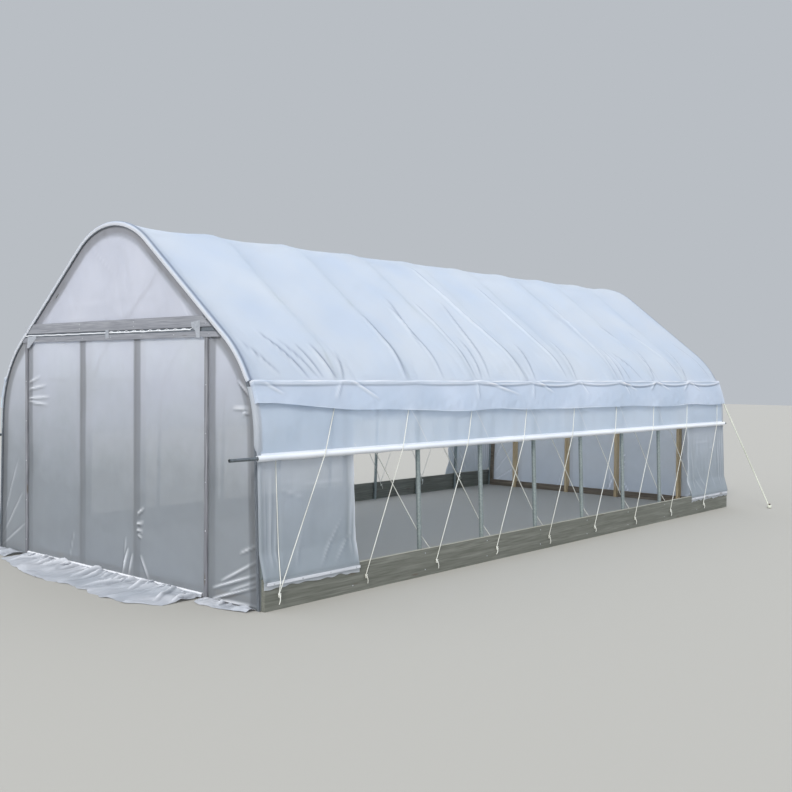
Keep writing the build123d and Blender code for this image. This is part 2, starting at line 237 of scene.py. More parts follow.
def polythene(name, body, shade, passes, glow, streaks, crinkle=8.0, lower=None, soil_and_shade="#7E8DA8", bands=(),
              pressed=None):
    """Milky film. `passes` is the share of light that goes straight through one face.

    `lower` is painted shade at the foot of the film: a darker colour, how high it reaches and over what
    height it fades.
    `bands` are the places across, from and to, where it lies on a post and is painted darker, as painted
    shade with dust. `pressed` says where slant cords inside press a pale line into it: their lean, their
    spacing, and from where to where.
    """
    material, tree, place = blank(name)
    x, y, z = add(tree, "ShaderNodeSeparateXYZ", (place,)).outputs
    clouds = patches(tree, place, (1.6, 1.6, 1.6), detail=4.0)
    creases = patches(tree, place, streaks, distortion=0.5)
    coats = [(shade, clouds, 0.35, 0.65)]
    # Painted shade: the film is darker towards its foot
    if lower:
        dull, height, soft = lower
        wander = add(tree, "ShaderNodeMapRange", (clouds, 0.3, 0.7, -0.2, 0.2))
        wavy = add(tree, "ShaderNodeMath", (z, wander), operation="ADD")
        coats.append((dull, wavy, height - soft, height + soft, 1.0, 0.0))
    # Painted shade, with dust, where the film lies on a post, stronger higher up
    for start, end in bands:
        from_middle = add(tree, "ShaderNodeMath", (x, (start + end) / 2), operation="SUBTRACT")
        aside = add(tree, "ShaderNodeMath", (from_middle,), operation="ABSOLUTE")
        edge = (end - start) / 2 - POST_EDGE
        on_post = add(tree, "ShaderNodeMapRange", (aside, edge, edge + FADE, 1.0, 0.0))
        stronger = add(tree, "ShaderNodeMapRange", (z, 0.4, 1.5, 0.14, 0.40))
        coats.append((soil_and_shade, add(tree, "ShaderNodeMath", (on_post, stronger), operation="MULTIPLY")))
    if pressed:
        lean, spacing, start, end = pressed
        along = add(tree, "ShaderNodeMath", (z, lean, y), operation="MULTIPLY_ADD")
        aside = add(tree, "ShaderNodeMath", (along, spacing / 2), operation="PINGPONG")
        line = add(tree, "ShaderNodeMapRange", (aside, *PRESSED_LINE, 0.6, 0.0))
        for where, operation in ((start, "GREATER_THAN"), (end, "LESS_THAN")):
            inside = add(tree, "ShaderNodeMath", (y, where), operation=operation)
            line = add(tree, "ShaderNodeMath", (line, inside), operation="MULTIPLY")
        coats.append(("#FFFFFF", line))
    # Crests are painted paler and close up, and hollows get painted shade
    crease = add(tree, "ShaderNodeAttribute", attribute_name="crease").outputs["Fac"]
    crest = add(tree, "ShaderNodeMapRange", (crease, 0.0, 1.0))
    coats += [(CREASE_WHITE, crest), (soil_and_shade, crease, -1.0, 0.0, 0.75, 0.0)]
    colour = coated(tree, body, coats)
    normal = add(tree, "ShaderNodeBump", {"Height": creases, "Strength": 0.5, "Distance": crinkle * MM})
    dullness = add(tree, "ShaderNodeMapRange", (creases, 0.3, 0.7, 0.36, 0.52))
    face = add(tree, "ShaderNodeBsdfPrincipled", {
        "Base Color": colour, "Roughness": dullness, "Normal": normal, "IOR": 1.51})
    through = add(tree, "ShaderNodeBsdfTranslucent", {"Color": colour, "Normal": normal})
    milky = add(tree, "ShaderNodeMixShader", (glow, face, through))
    even_share = add(tree, "ShaderNodeMapRange", (clouds, 0.35, 0.65, passes * 1.15, passes * 0.85))
    closed = add(tree, "ShaderNodeMath", (1.0, crest), operation="SUBTRACT", use_clamp=True)
    share = add(tree, "ShaderNodeMath", (even_share, closed), operation="MULTIPLY")
    film = add(tree, "ShaderNodeMixShader", (share, milky, add(tree, "ShaderNodeBsdfTransparent")))
    add(tree, "ShaderNodeOutputMaterial", {"Surface": film})
    return material


# Where the end wall's film lies on its posts, across the wall, and is painted darker: painted shade, as the
# post keeps the light from behind off it, with the dust held there
POST_SHADE_BANDS = ((-1.455, -1.335), (-0.505, -0.405), (0.335, 0.435), (1.305, 1.435))
# The inner lacing goes forward by a bay, less a pipe and a cord, from where it bends up to the hip
ROPE_RADIUS = 4 * MM
INNER_BEND_HEIGHT = 400 * MM
INNER_LEAN = (BOW_SPACING - BOW_RADIUS - ROPE_RADIUS) / (HIP_HEIGHT - INNER_BEND_HEIGHT)
pressed_lines = (INNER_LEAN, BOW_SPACING, 1.0, LENGTH - 1.0)

# The sheets are one film, each with its own colours: the roof and the flap are painted bluer, which is
# painted sky light, the rear wall paler, which is painted light, and the gable greyer, which is painted
# shade
roof_film = polythene(
    "milky_roof_polythene", "#F4F9FF", "#EAF2FC", passes=0.18, glow=0.60, streaks=(0.7, 2.4, 0.7),
    crinkle=4.0)
flap_film = polythene(
    "loose_flap_polythene", "#E8F0FB", "#D8E3F0", passes=0.26, glow=0.35, streaks=(3, 8, 1.6))
side_film = polythene(
    "side_curtain_polythene", "#E9F2FC", "#DCE7F2", passes=0.36, glow=0.42, streaks=(4, 14, 1.6),
    pressed=pressed_lines)
rolled_film = polythene(
    "rolled_up_polythene", "#FAFCFF", "#EEF2F8", passes=0.03, glow=0.12, streaks=(8, 5, 8))
corner_film = polythene(
    "corner_polythene", "#E6EAF0", "#D4DAE2", passes=0.30, glow=0.40, streaks=(10, 12, 1.5),
    lower=("#B4BDC4", 0.85, 0.5))
wall_film = polythene(
    "end_wall_polythene", "#EAECF1", "#DDDFE7", passes=0.26, glow=0.44, streaks=(5, 5, 1.5),
    lower=("#AFB4B9", 1.35, 0.6), soil_and_shade="#55575C", bands=POST_SHADE_BANDS)
rear_film = polythene(
    "rear_wall_polythene", "#F3F5F9", "#E6E9EF", passes=0.28, glow=0.60, streaks=(5, 5, 1.5),
    lower=("#CDD3D9", 1.35, 0.6), soil_and_shade="#8A8D92", bands=POST_SHADE_BANDS)
gable_film = polythene(
    "gable_polythene", "#E5E5EC", "#DBDCE4", passes=0.30, glow=0.40, streaks=(3, 3, 2), soil_and_shade="#62656C")
loose_film = polythene(
    "crumpled_spare_polythene", "#DEE0E5", "#C4C9D0", passes=0.22, glow=0.25, streaks=(16, 10, 6),
    soil_and_shade="#5F6673")
print("film materials:", len(bpy.data.materials))

# %% [markdown]
# ## Timber
# The boards are sawn softwood. Out in the weather it turns silver grey, with raised grain and dark
# checks, and indoors it stays tan. The front wall's studs and nailer are painted dark grey, which is
# painted shade for the shade they stand in behind the film. Grain is noise stretched 25 times along the
# board over distorted growth rings, because that is what a saw cuts through. Knots are sparse cells of a
# Voronoi pattern. An image would show more, but it would repeat from board to board.

# %% Timber materials
GRAIN_STRETCH = 25
KNOT_BROWN = "#625A50"
TOP_EDGE_PALE = "#C9C4B2"


def sawn_timber(name, pale, dark, along, grain=9.0, ring=26.0, top_edge=None):
    """Sawn softwood with its grain `along` axis 0, 1 or 2; grain and ring spacing are in mm.

    `top_edge` is the height above which the board's top edge is painted paler.
    """
    material, tree, place = blank(name)

    def scales(down, across):
        return [down if axis == along else across for axis in range(3)]

    fibres = patches(tree, place, scales(1000 / grain / GRAIN_STRETCH, 1000 / grain), detail=6.0)
    rings = add(tree, "ShaderNodeMapping", {"Vector": place, "Scale": scales(0.9, 1000 / ring)})
    waves = add(tree, "ShaderNodeTexWave", {
        "Vector": rings, "Scale": 0.16, "Distortion": 7.0, "Detail": 3.0, "Detail Scale": 0.8},
        bands_direction="DIAGONAL").outputs["Fac"]
    boards = patches(tree, place, (1.3, 1.3, 1.3), detail=2.0)
    cells = add(tree, "ShaderNodeMapping", {"Vector": place, "Scale": scales(1.9, 9.0)})
    knots = add(tree, "ShaderNodeTexVoronoi", {"Vector": cells, "Scale": 1.0})
    coats = [(pale, fibres, 0.32, 0.68), (dark, waves, 0.1, 0.9, 0.0, 0.45),
             (dark, boards, 0.35, 0.65, 0.0, 0.35), (KNOT_BROWN, knots, 0.05, 0.12, 0.7, 0.0)]
    if top_edge:
        height = add(tree, "ShaderNodeSeparateXYZ", (place,)).outputs["Z"]
        coats.append((TOP_EDGE_PALE, height, top_edge - 2 * MM, top_edge, 0.0, 0.8))
    bump = add(tree, "ShaderNodeBump", {"Height": fibres, "Strength": 0.6, "Distance": 1.2 * MM})
    board = add(tree, "ShaderNodeBsdfPrincipled", {
        "Base Color": coated(tree, dark, coats), "Roughness": 0.82, "Normal": bump})
    add(tree, "ShaderNodeOutputMaterial", {"Surface": board})
    return material


ALONG_X, ALONG_Y, ALONG_Z = 0, 1, 2
header_wood = sawn_timber("silvered_header_board", "#A6A8AE", "#7D7F86", ALONG_X)
plate_wood = sawn_timber("brown_softwood_rail", "#988B7A", "#6B6154", ALONG_X)
stud_wood = sawn_timber("tan_softwood_stud", "#E6D5B0", "#BDA27C", ALONG_Z)
# Dark grey wood for the front studs and nailer: painted shade, for the shade behind the film
shaded_stud_wood = sawn_timber("shaded_softwood_stud", "#504F52", "#38373A", ALONG_Z)
side_board_wood = sawn_timber(
    "grey_brown_side_board", "#84857D", "#62645B", ALONG_Y, grain=12, top_edge=236 * MM)
hip_wood = sawn_timber("hip_rail_softwood", "#7E828A", "#5C6068", ALONG_Y)
post_batten_wood = sawn_timber("grey_post_batten", "#A0A1A6", "#6C6D73", ALONG_Z)
white_batten_wood = sawn_timber("whitewashed_lath", "#E4E6EA", "#C2C5CB", ALONG_Y)
shaded_nailer_wood = sawn_timber("shaded_bent_nailer_wood", "#50534C", "#383B36", ALONG_Z)
print("film and timber materials:", len(bpy.data.materials))

# %% [markdown]
# ## Metal and rope
# The bows are galvanised steel tube. Hot zinc sets in flat crystals about a centimetre across, each with
# its own grey, so the colour and roughness follow Voronoi cells. The channels are extruded aluminium with
# faint drawing lines. The lacing is twisted polypropylene cord, whose strands are real geometry, so its
# material only needs fibre-fine mottling and some grime.

# %% Metal and rope materials
SPANGLE = 11
FIBRE = 3


def metal(name, pale, dark, cells, stretch, roughness, metallic):
    """Bare metal with cells of its own tone, so many mm across, stretched along Y."""
    material, tree, place = blank(name)
    scale = 1000 / cells
    mapping = add(tree, "ShaderNodeMapping", {"Vector": place, "Scale": (scale, scale / stretch, scale)})
    spangle = add(tree, "ShaderNodeTexVoronoi", {"Vector": mapping, "Scale": 1.0})
    grey = add(tree, "ShaderNodeSeparateColor", (spangle.outputs["Color"],))
    grime = patches(tree, place, (4, 4, 4), detail=4.0)
    colour = coated(tree, pale, [(dark, grey, 0.0, 1.0, 0.0, 0.6), (dark, grime, 0.45, 0.75, 0.0, 0.5)])
    dullness = add(tree, "ShaderNodeMapRange", (grime, 0.3, 0.7, roughness - 0.06, roughness + 0.08))
    bare = add(tree, "ShaderNodeBsdfPrincipled", {
        "Base Color": colour, "Metallic": metallic, "Roughness": dullness})
    add(tree, "ShaderNodeOutputMaterial", {"Surface": bare})
    return material


def twisted_cord(name, clean, soiled):
    """Polypropylene cord, soiled in patches."""
    material, tree, place = blank(name)
    fibres = patches(tree, place, (1000 / FIBRE, 1000 / FIBRE, 400 / FIBRE), detail=2.0)
    soil_and_shade = patches(tree, place, (3, 3, 3))
    bump = add(tree, "ShaderNodeBump", {"Height": fibres, "Strength": 0.4, "Distance": 0.6 * MM})
    colour = coated(tree, clean, [(soiled, soil_and_shade, 0.45, 0.75, 0.0, 0.7)])
    cord = add(tree, "ShaderNodeBsdfPrincipled", {"Base Color": colour, "Roughness": 0.7, "Normal": bump})
    add(tree, "ShaderNodeOutputMaterial", {"Surface": cord})
    return material


zinc = metal("galvanised_tube", "#A3ADAC", "#7E8887", SPANGLE, 1, 0.48, 0.75)
dull_pipe = metal("dulled_roll_pipe", "#7D8488", "#54595D", SPANGLE, 1, 0.5, 0.8)
dull_channel = metal("dull_lock_channel", "#7F858C", "#62686F", 4, 12, 0.5, 0.4)
bright_plate = metal("zinc_plate", "#C3C6CB", "#A2A6AC", SPANGLE, 1, 0.4, 0.6)
rusty_steel = metal("rusting_steel", "#6E6259", "#4A382C", 7, 1, 0.65, 0.5)
white_cord = twisted_cord("white_lacing_cord", "#E9EAE2", "#B5B3A4")
white_wire = twisted_cord("white_film_edge", "#F4F6FA", "#DADDE3")
stay_cord = twisted_cord("stay_cord", "#E3E6D8", "#AEB39E")
print("all materials:", len(bpy.data.materials))

# %% [markdown]
# ## How a sheet of film is made
# Each sheet is a grid of points, worked out from where the film is held and how it is pulled, then given
# its thickness by Solidify and kept as a plain mesh. A cloth simulation could find the sag, but film this
# size is pulled tight: what shows is tension folds, and those are better placed one by one, along the lines
# that run between the points that pull.

# %% Helpers for film
FILM_THICKNESS = 2 * MM       # thicker than the real 0.15 mm, so that both faces draw cleanly
RIM_ANGLE = math.radians(55)
SIDES = (("right", False), ("left", True))
ENDS = (("front", False), ("rear", True))


def flipped(points, left=False, rear=False):
    """Points of the right front, moved to the left of the tunnel, to its rear, or both."""
    moved = np.array(points, float)
    if left:
        moved[..., 0] *= -1
    if rear:
        moved[..., 1] = LENGTH - moved[..., 1]
    return moved


def link(piece):
    bpy.context.scene.collection.objects.link(piece)
    return piece


def bare_mesh(name, points, edges=(), faces=()):
    mesh = bpy.data.meshes.new(name)
    mesh.from_pydata([tuple(float(c) for c in point) for point in points], edges, faces)
    return mesh


def plain_piece(name, holder, material=None):
    """A piece made of what an object's modifiers give, as a mesh of its own. The object is removed."""
    depsgraph = bpy.context.evaluated_depsgraph_get()
    mesh = bpy.data.meshes.new_from_object(holder.evaluated_get(depsgraph))
    bpy.data.objects.remove(holder)
    mesh.name = name
    if material:
        mesh.materials.clear()
        mesh.materials.append(material)
    print(f"{name}: {len(mesh.polygons)} faces")
    return link(bpy.data.objects.new(name, mesh))


def thickened(name, surface, material, thickness, bevel=0.0):
    """A piece with half its thickness on each side of a surface."""
    holder = link(bpy.data.objects.new(name + "_surface", surface))
    solid = holder.modifiers.new("thickness", "SOLIDIFY")
    solid.thickness = thickness
    solid.offset = 0.0
    if bevel:
        edge = holder.modifiers.new("edge", "BEVEL")
        edge.width = bevel
        edge.segments = 2
    return plain_piece(name, holder, material)


def film_sheet(name, points, material, tone=None, thickness=FILM_THICKNESS):
    """A sheet of film through a grid of points. `tone` is what its crease attribute holds."""
    rows, columns, _ = points.shape
    corner = np.arange(rows * columns).reshape(rows, columns)
    faces = np.stack([corner[:-1, :-1], corner[1:, :-1], corner[1:, 1:], corner[:-1, 1:]], -1)
    surface = bare_mesh(name + "_surface", points.reshape(-1, 3), faces=faces.reshape(-1, 4).tolist())
    surface.polygons.foreach_set("use_smooth", [True] * len(surface.polygons))
    if tone is not None:
        crease = surface.attributes.new("crease", "FLOAT", "POINT")
        crease.data.foreach_set("value", np.clip(tone, -1, 1).astype(np.float32).ravel())
    piece = thickened(name, surface, material, thickness)
    piece.data.set_sharp_from_angle(angle=RIM_ANGLE)
    return piece


def hills(u, v, size, seed, count=7):
    """Smooth random hills and hollows, about 1 high, over two lengths in metres: a sum of waves."""
    draw = np.random.default_rng(seed)
    total = np.zeros(np.broadcast(u, v).shape)
    for _ in range(count):
        heading = draw.uniform(0, 2 * math.pi)
        phase = draw.uniform(0, 2 * math.pi)
        wave = size * draw.uniform(0.7, 1.5)
        total += np.sin((u * math.cos(heading) + v * math.sin(heading)) * 2 * math.pi / wave + phase)
    return total / math.sqrt(count)


def near_fold(u, v, start, end):
    """How strong a fold from start to end is beside each point, and how far aside the point lies."""
    du, dv = end[0] - start[0], end[1] - start[1]
    length = math.hypot(du, dv)
    along = ((u - start[0]) * du + (v - start[1]) * dv) / length ** 2
    aside = ((u - start[0]) * dv - (v - start[1]) * du) / length
    inside = np.clip(along, 0, 1)
    return np.sin(math.pi * inside ** 0.8) ** 0.7 * ((along > 0) & (along < 1)), aside


def folded(u, v, folds, scale=1.0):
    """Height of tension folds, each a ridge with a hollow each side that fades at both ends.

    Each fold is where it starts and ends, then its height and half width in mm.
    """
    total = np.zeros(np.broadcast(u, v).shape)
    for start_u, start_v, end_u, end_v, height, width in folds:
        strength, aside = near_fold(u, v, (start_u, start_v), (end_u, end_v))
        aside = aside / (width * MM)
        total += scale * height * MM * strength * (1 - aside ** 2) * np.exp(-aside ** 2)
    return total


def crease_tone(u, v, folds, bright, dark, line):
    """Tone of the creases: a crest painted paler, partly as a painted highlight, and painted shade beside
    it. `line` is half a line's width.
    """
    total = np.zeros(np.broadcast(u, v).shape)
    for start_u, start_v, end_u, end_v, height, _ in folds:
        strength, aside = near_fold(u, v, (start_u, start_v), (end_u, end_v))
        strength = strength * min(height / 9, 1.2)
        total += strength * bright * np.exp(-(aside / line) ** 2)
        total -= strength * dark * np.exp(-((aside / line) - 1.7) ** 2)
    return total


def held_between(place, supports, reach):
    """0 on a support and 1 from `reach` away from all of them."""
    nearest = np.min([np.abs(place - support) for support in supports], axis=0)
    share = np.clip(nearest / reach, 0, 1)
    return share * share * (3 - 2 * share)


# %% [markdown]
# ## The roof
# One sheet runs from hip to hip over all ten bows. It rests on the pipes and sags a little between them,
# so each bow shows as a soft ridge, and the top line of the tunnel goes up and down by a centimetre or
# two. Just above the hip, where it is locked to the rail, the pull gathers into sharp folds that fan out
# from the bows. These folds are the first thing the eye takes for film, so they are listed one by one.

# %% Roof sheet
SKIN = 23.3 * MM              # middle of the roof film, outside the pipe's middle
RAIL_HALF_WIDTH = 20 * MM
ROOF_STEP = 15.5 * MM

# Folds as (along the tunnel, down from the ridge) at the top and at the foot, then height and half width
ROOF_FOLDS = (
    (0.08, 1.96, 0.31, 2.25, 5, 19), (0.35, 1.80, 0.60, 2.29, 8, 20), (0.50, 1.90, 0.70, 2.29, 5, 18),
    (0.64, 1.93, 0.75, 2.28, 6, 18), (0.80, 1.95, 0.88, 2.29, 8, 19), (1.05, 2.02, 0.97, 2.29, 5, 18),
    (1.82, 1.45, 1.77, 2.29, 8, 24), (2.46, 1.12, 2.26, 1.92, 6, 28), (2.38, 1.25, 2.30, 2.28, 6, 25),
    (2.86, 1.15, 2.77, 2.29, 8, 22), (3.33, 1.12, 3.02, 2.26, 7, 24), (3.00, 1.75, 2.88, 2.29, 6, 19),
    (3.46, 0.40, 3.63, 2.29, 10, 22), (3.92, 1.80, 3.80, 2.29, 6, 19), (4.38, 0.70, 4.44, 2.28, 8, 24),
    (4.75, 1.70, 4.62, 2.29, 6, 20), (5.68, 0.90, 5.54, 2.29, 10, 22), (5.73, 1.78, 5.70, 2.29, 7, 18),
    (5.80, 1.84, 5.86, 2.29, 7, 18), (5.90, 1.88, 6.16, 2.29, 6, 18), (6.32, 1.30, 6.57, 2.29, 7, 22),
    (6.60, 1.80, 6.45, 2.29, 6, 19), (7.00, 1.40, 7.22, 2.29, 8, 24), (7.50, 1.75, 7.36, 2.29, 7, 19),
    (7.95, 1.60, 8.10, 2.28, 5, 22),
)
# How strongly the hip lock puckers the film at each bow, from the front
PUCKERS = (0.4, 1.0, 0.35, 0.8, 0.9, 0.3, 1.0, 0.8, 1.0, 0.3)


def between_bows(y):
    """0 on each bow and 1 in the middle of each bay."""
    share = np.clip(y / BOW_SPACING, 0, BOW_COUNT - 1) % 1.0
    return 4 * share * (1 - share)


def bell(distance, width):
    """1 in the middle, falling to 0 on both sides."""
    return np.exp(-(distance / width) ** 2)


def pucker(y, width):
    """The pull of the hip lock along the tunnel, as peaks at the bows."""
    return sum(strength * bell(y - bow * BOW_SPACING - 0.05, width) for bow, strength in enumerate(PUCKERS))


def roof_swell(y, run, side_y):
    """How far the roof film stands out from where it rests on the pipes.

    `side_y` counts from the front on the right and from the rear on the left.
    """
    draw = np.random.default_rng(5)
    depth = draw.uniform(14 * MM, 25 * MM, BOW_COUNT + 1)        # how deep each bay sags
    bay = np.clip(np.floor(y / BOW_SPACING).astype(int), 0, BOW_COUNT - 1)
    down = np.abs(run) / HIP_RUN
    swell = -depth[bay] * between_bows(y) ** 0.75 * (0.95 + 0.15 * np.sin(math.pi * np.clip(down, 0, 1)))
    # Broad swells, with finer wrinkles over them
    swell += 2.2 * MM * hills(y, run, 0.55, 11) + 0.7 * MM * hills(y, run, 0.17, 12)
    # Fine gathers in the last quarter above the hip
    down_near = np.clip((down - 0.72) / 0.28, 0, 1)
    gathers = hills(side_y, np.abs(run) * 0.25, 0.085, 13) * (0.3 + pucker(side_y, 0.22))
    swell += 3.0 * MM * down_near * gathers
    return swell + folded(side_y, np.abs(run), ROOF_FOLDS, 1.8)


HIP_RUN = float(run_at(HIP_HEIGHT + RAIL_HALF_WIDTH, SKIN))
# The end edge is folded over the end bow and locked in its channel: places along the tunnel, and how far
# outside the pipe's middle
wrap_y = np.array([-36.8, -39.8, -40.6, -40.4, -39.2, -36, -30, -20, -4, 14]) * MM
wrap_grow = np.array([-5, -4, 3, 11, 18.5, 25, 30, 33, 33, 28]) * MM

middle_y = np.arange(30 * MM, LENGTH - 30 * MM + ROOF_STEP / 2, ROOF_STEP)
roof_y = np.concatenate([wrap_y, middle_y, (LENGTH - wrap_y)[::-1]])
roof_base = np.concatenate([wrap_grow, np.full(len(middle_y), SKIN), wrap_grow[::-1]])
near_hip = HIP_RUN - np.array([0, 8, 18, 30, 46, 66, 92, 124, 160]) * MM
half_rows = np.concatenate([np.linspace(0, HIP_RUN - 0.2, 32), near_hip[::-1]])
roof_rows = np.concatenate([-half_rows[:0:-1], half_rows])

y_grid, run_grid = np.meshgrid(roof_y, roof_rows)
side_y_grid = np.where(run_grid < 0, LENGTH - y_grid, y_grid)
inside_ends = np.clip(np.minimum(y_grid, LENGTH - y_grid) / (60 * MM), 0, 1)
edge_flare = 7 * MM * np.clip(1 - (HIP_RUN - np.abs(run_grid)) / 0.06, 0, 1) ** 2
grow_grid = roof_base + inside_ends * roof_swell(y_grid, run_grid, side_y_grid) + edge_flare
from_bow = np.abs(y_grid - np.round(y_grid / BOW_SPACING) * BOW_SPACING)
pipe_top = np.sqrt(np.clip((BOW_RADIUS + 1.8 * MM) ** 2 - from_bow ** 2, 0, None))
grow_grid = np.where(pipe_top > 0, np.maximum(grow_grid, pipe_top), grow_grid)
x_grid, z_grid = arch(run_grid, grow_grid)
roof_tone = crease_tone(side_y_grid, np.abs(run_grid), ROOF_FOLDS, 0.5, 1.2, 14 * MM)
# The doubled edge on the end bow is painted bright, with a line of painted shade behind it where the fold
# ends
WRAP_TONE = np.array([0.2, 0.8, 1.0, 1.0, 0.8, 0.3, -0.5, -1.0, -0.3, 0.0])
roof_tone[:, :len(WRAP_TONE)] += WRAP_TONE
roof_tone[:, -len(WRAP_TONE):] += WRAP_TONE[::-1]
# Along the hip a thin line of painted shade marks the lock, stronger in places
lock_shade_line = bell(HIP_RUN - np.abs(run_grid), 7 * MM)
roof_tone -= lock_shade_line * np.clip(0.55 + 0.7 * hills(side_y_grid, 0 * run_grid, 0.6, 14), 0, 1)
roof_sheet = film_sheet("roof_sheet", np.stack([x_grid, y_grid, z_grid], -1), roof_film, roof_tone)

# %% [markdown]
# ## The flap below the hip
# Past the lock the spare film is left to hang over the curtain. At the lock it bunches into a rounded
# lip, and its loose edge hangs lower towards the rear and waves a little. One grid follows that cross-
# section: round the lip, then down. The left one is the right one turned half round the tunnel's middle.

# %% Flap sheets
rail_grows = np.linspace(30, 60, 61) * MM
rail_widths = [float(half_width(HIP_HEIGHT - RAIL_HALF_WIDTH, grow)) for grow in rail_grows]
RAIL_FACE = float(np.interp(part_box("hip_rails")[1].x, rail_widths, rail_grows))
FLAP_SKIN = RAIL_FACE + 2.3 * MM
LIP_RADIUS = 13 * MM
LIP_MIDDLE = (21 * MM, RAIL_FACE - 3 * MM)       # below the top of the rail, and outside the pipe's middle
FLAP_STEP = 19 * MM
# How far the lip droops in the middle of each bay, and how far it stands out there
LIP_DROOPS = (10, 8, 12, 20, 34, 26, 42, 36, 38)
LIP_BULGES = (5, 4, 5, 7, 10, 8, 13, 12, 12)
# How low the loose edge hangs below the hip, along the tunnel
HEM_PLACES = (-0.03, 0.15, 0.45, 1.0, 1.8, 2.7, 4.5, 6.4, 8.3)
HEM_DROPS = (0.150, 0.160, 0.195, 0.228, 0.246, 0.262, 0.275, 0.290, 0.292)
FLAP_FOLDS = (
    (0.08, 0.03, 0.26, 0.12, 6, 20), (1.02, 0.01, 1.32, 0.17, 8, 22), (0.90, 0.02, 0.80, 0.16, 5, 20),
    (2.88, 0.02, 3.40, 0.15, 8, 22), (2.74, 0.03, 2.70, 0.20, 5, 20), (3.78, 0.02, 4.05, 0.14, 7, 22),
    (3.70, 0.03, 3.62, 0.20, 5, 20), (5.52, 0.02, 5.86, 0.12, 9, 22), (5.58, 0.03, 5.66, 0.18, 6, 20),
    (6.38, 0.02, 6.20, 0.12, 8, 22), (6.42, 0.02, 6.72, 0.13, 8, 22), (7.30, 0.02, 7.10, 0.13, 7, 22),
    (7.36, 0.03, 7.60, 0.14, 6, 20), (4.62, 0.02, 4.74, 0.16, 5, 20),
)


def flap_points():
    """Grid of the right flap: rows go round the lip and down, columns run along the tunnel."""
    past = np.array([18, 26, 27]) * MM
    y = np.concatenate([-past[::-1], np.arange(0, LENGTH, FLAP_STEP), LENGTH + past])
    round_lip = np.radians(np.linspace(165, -15, 9))
    lip_drop = LIP_MIDDLE[0] - LIP_RADIUS * np.sin(round_lip)
    lip_grow = LIP_MIDDLE[1] + LIP_RADIUS * np.cos(round_lip)
    hang = np.linspace(0, 1, 30)[1:] ** 1.3
    hem = np.interp(y, HEM_PLACES, HEM_DROPS) + 6 * MM * hills(y, 0 * y, 0.8, 21) + RAIL_HALF_WIDTH
    hang_drop = lip_drop[-1] + hang[:, None] * (hem - lip_drop[-1])
    drop = np.concatenate([np.repeat(lip_drop[:, None], len(y), 1), hang_drop])
    settle = np.exp(-(hang_drop - lip_drop[-1]) / (22 * MM))
    hang_grow = FLAP_SKIN + (lip_grow[-1] - FLAP_SKIN) * settle
    grow = np.concatenate([np.repeat(lip_grow[:, None], len(y), 1), hang_grow])
    along = np.repeat(y[None, :], len(drop), 0)
    # The lower it hangs, the more it waves
    loose = np.clip(drop / 0.25, 0, 1.2)
    swell = loose * 4.0 * MM * (1.1 + hills(along, drop * 0.5, 0.42, 22))
    swell += loose * 1.5 * MM * hills(along, drop, 0.1, 23) + folded(along, drop, FLAP_FOLDS, 1.3)
    # Below the lip the spare film droops between the bows, over a hollow
    bay = np.clip(np.floor(along / BOW_SPACING).astype(int), 0, BOW_COUNT - 2)
    sag = between_bows(along) ** 0.8
    fold_line = LIP_MIDDLE[0] + 8 * MM + np.array(LIP_DROOPS)[bay] * MM * sag
    below = drop - fold_line
    bulge = np.array(LIP_BULGES)[bay] * MM * (0.35 + 0.65 * sag)
    swell += bulge * (bell(below, 11 * MM) - 0.5 * bell(below - 20 * MM, 11 * MM))
    # The lip itself is bunched and lifted at the bows
    lip_share = np.clip(1 - drop / 0.05, 0, 1)
    swell += lip_share * (2.5 * MM * hills(along, drop, 0.3, 24) + 5 * MM * pucker(along, 0.05))
    lift = lip_share * (5 * MM * pucker(along, 0.07) - 2 * MM * hills(along, 0 * along, 0.5, 25))
    out = grow + np.maximum(swell, -1.5 * MM)
    out[:, [0, -1]] = BOW_RADIUS + 3 * MM        # both ends are tucked in, over the end of the rail
    x, z = arch(HIP_RUN + drop - lift, out)
    # Painted highlight on the droop and the lip, lighter on the loose edge, and painted shade in the hollow
    droop = np.clip(bulge / (9 * MM), 0.3, 1)
    tone = droop * (0.7 * bell(below, 9 * MM) - 0.8 * bell(below - 15 * MM, 8 * MM))
    tone += crease_tone(along, drop, FLAP_FOLDS, 0.9, 0.6, 12 * MM)
    tone[2:8] += 0.6 + 0.25 * hills(along[2:8], drop[2:8], 0.4, 26)
    tone[-1] += 0.6 * np.clip(0.3 + hills(y, 0 * y, 0.9, 27), 0, 1)
    return np.stack([x, along, z], -1), tone


flap, flap_tone = flap_points()
flaps = {
    side: film_sheet(f"flap_{side}", flipped(flap, far, far), flap_film, flap_tone) for side, far in SIDES}

# %% [markdown]
# ## Roll-up curtains
# Each side has a curtain that hangs inside the lacing and is wound on a pipe at its foot. It stands half
# raised. The sheet goes down over the bows, under the pipe, and winds inwards in a spiral of a few turns,
# so the roll is real film and not a tube. Film never winds evenly, so the outer turns wander by a few
# millimetres along slow diagonals. Turns that lie on each other let little light through, so they get a
# denser finish.

# %% Curtain sheets
CURTAIN_SKIN = 27.6 * MM
CURTAIN_STEP = 42 * MM
ROLL_HEIGHT = HIP_HEIGHT - 550 * MM
ROLL_OUTSIDE = 26 * MM
ROLL_RADIUS = 25 * MM
ROLL_CORE = 14.4 * MM
ROLL_TURNS = 3.25
ROLL_PAST_END = 60 * MM        # how far the roll runs on past the end bow
TURN_STEPS = 12
ROLL_X = float(half_width(ROLL_HEIGHT, CURTAIN_SKIN - 2 * MM + ROLL_OUTSIDE))
CORNER_FILM_FRONT, CORNER_FILM_REAR = 0.988, 1.070


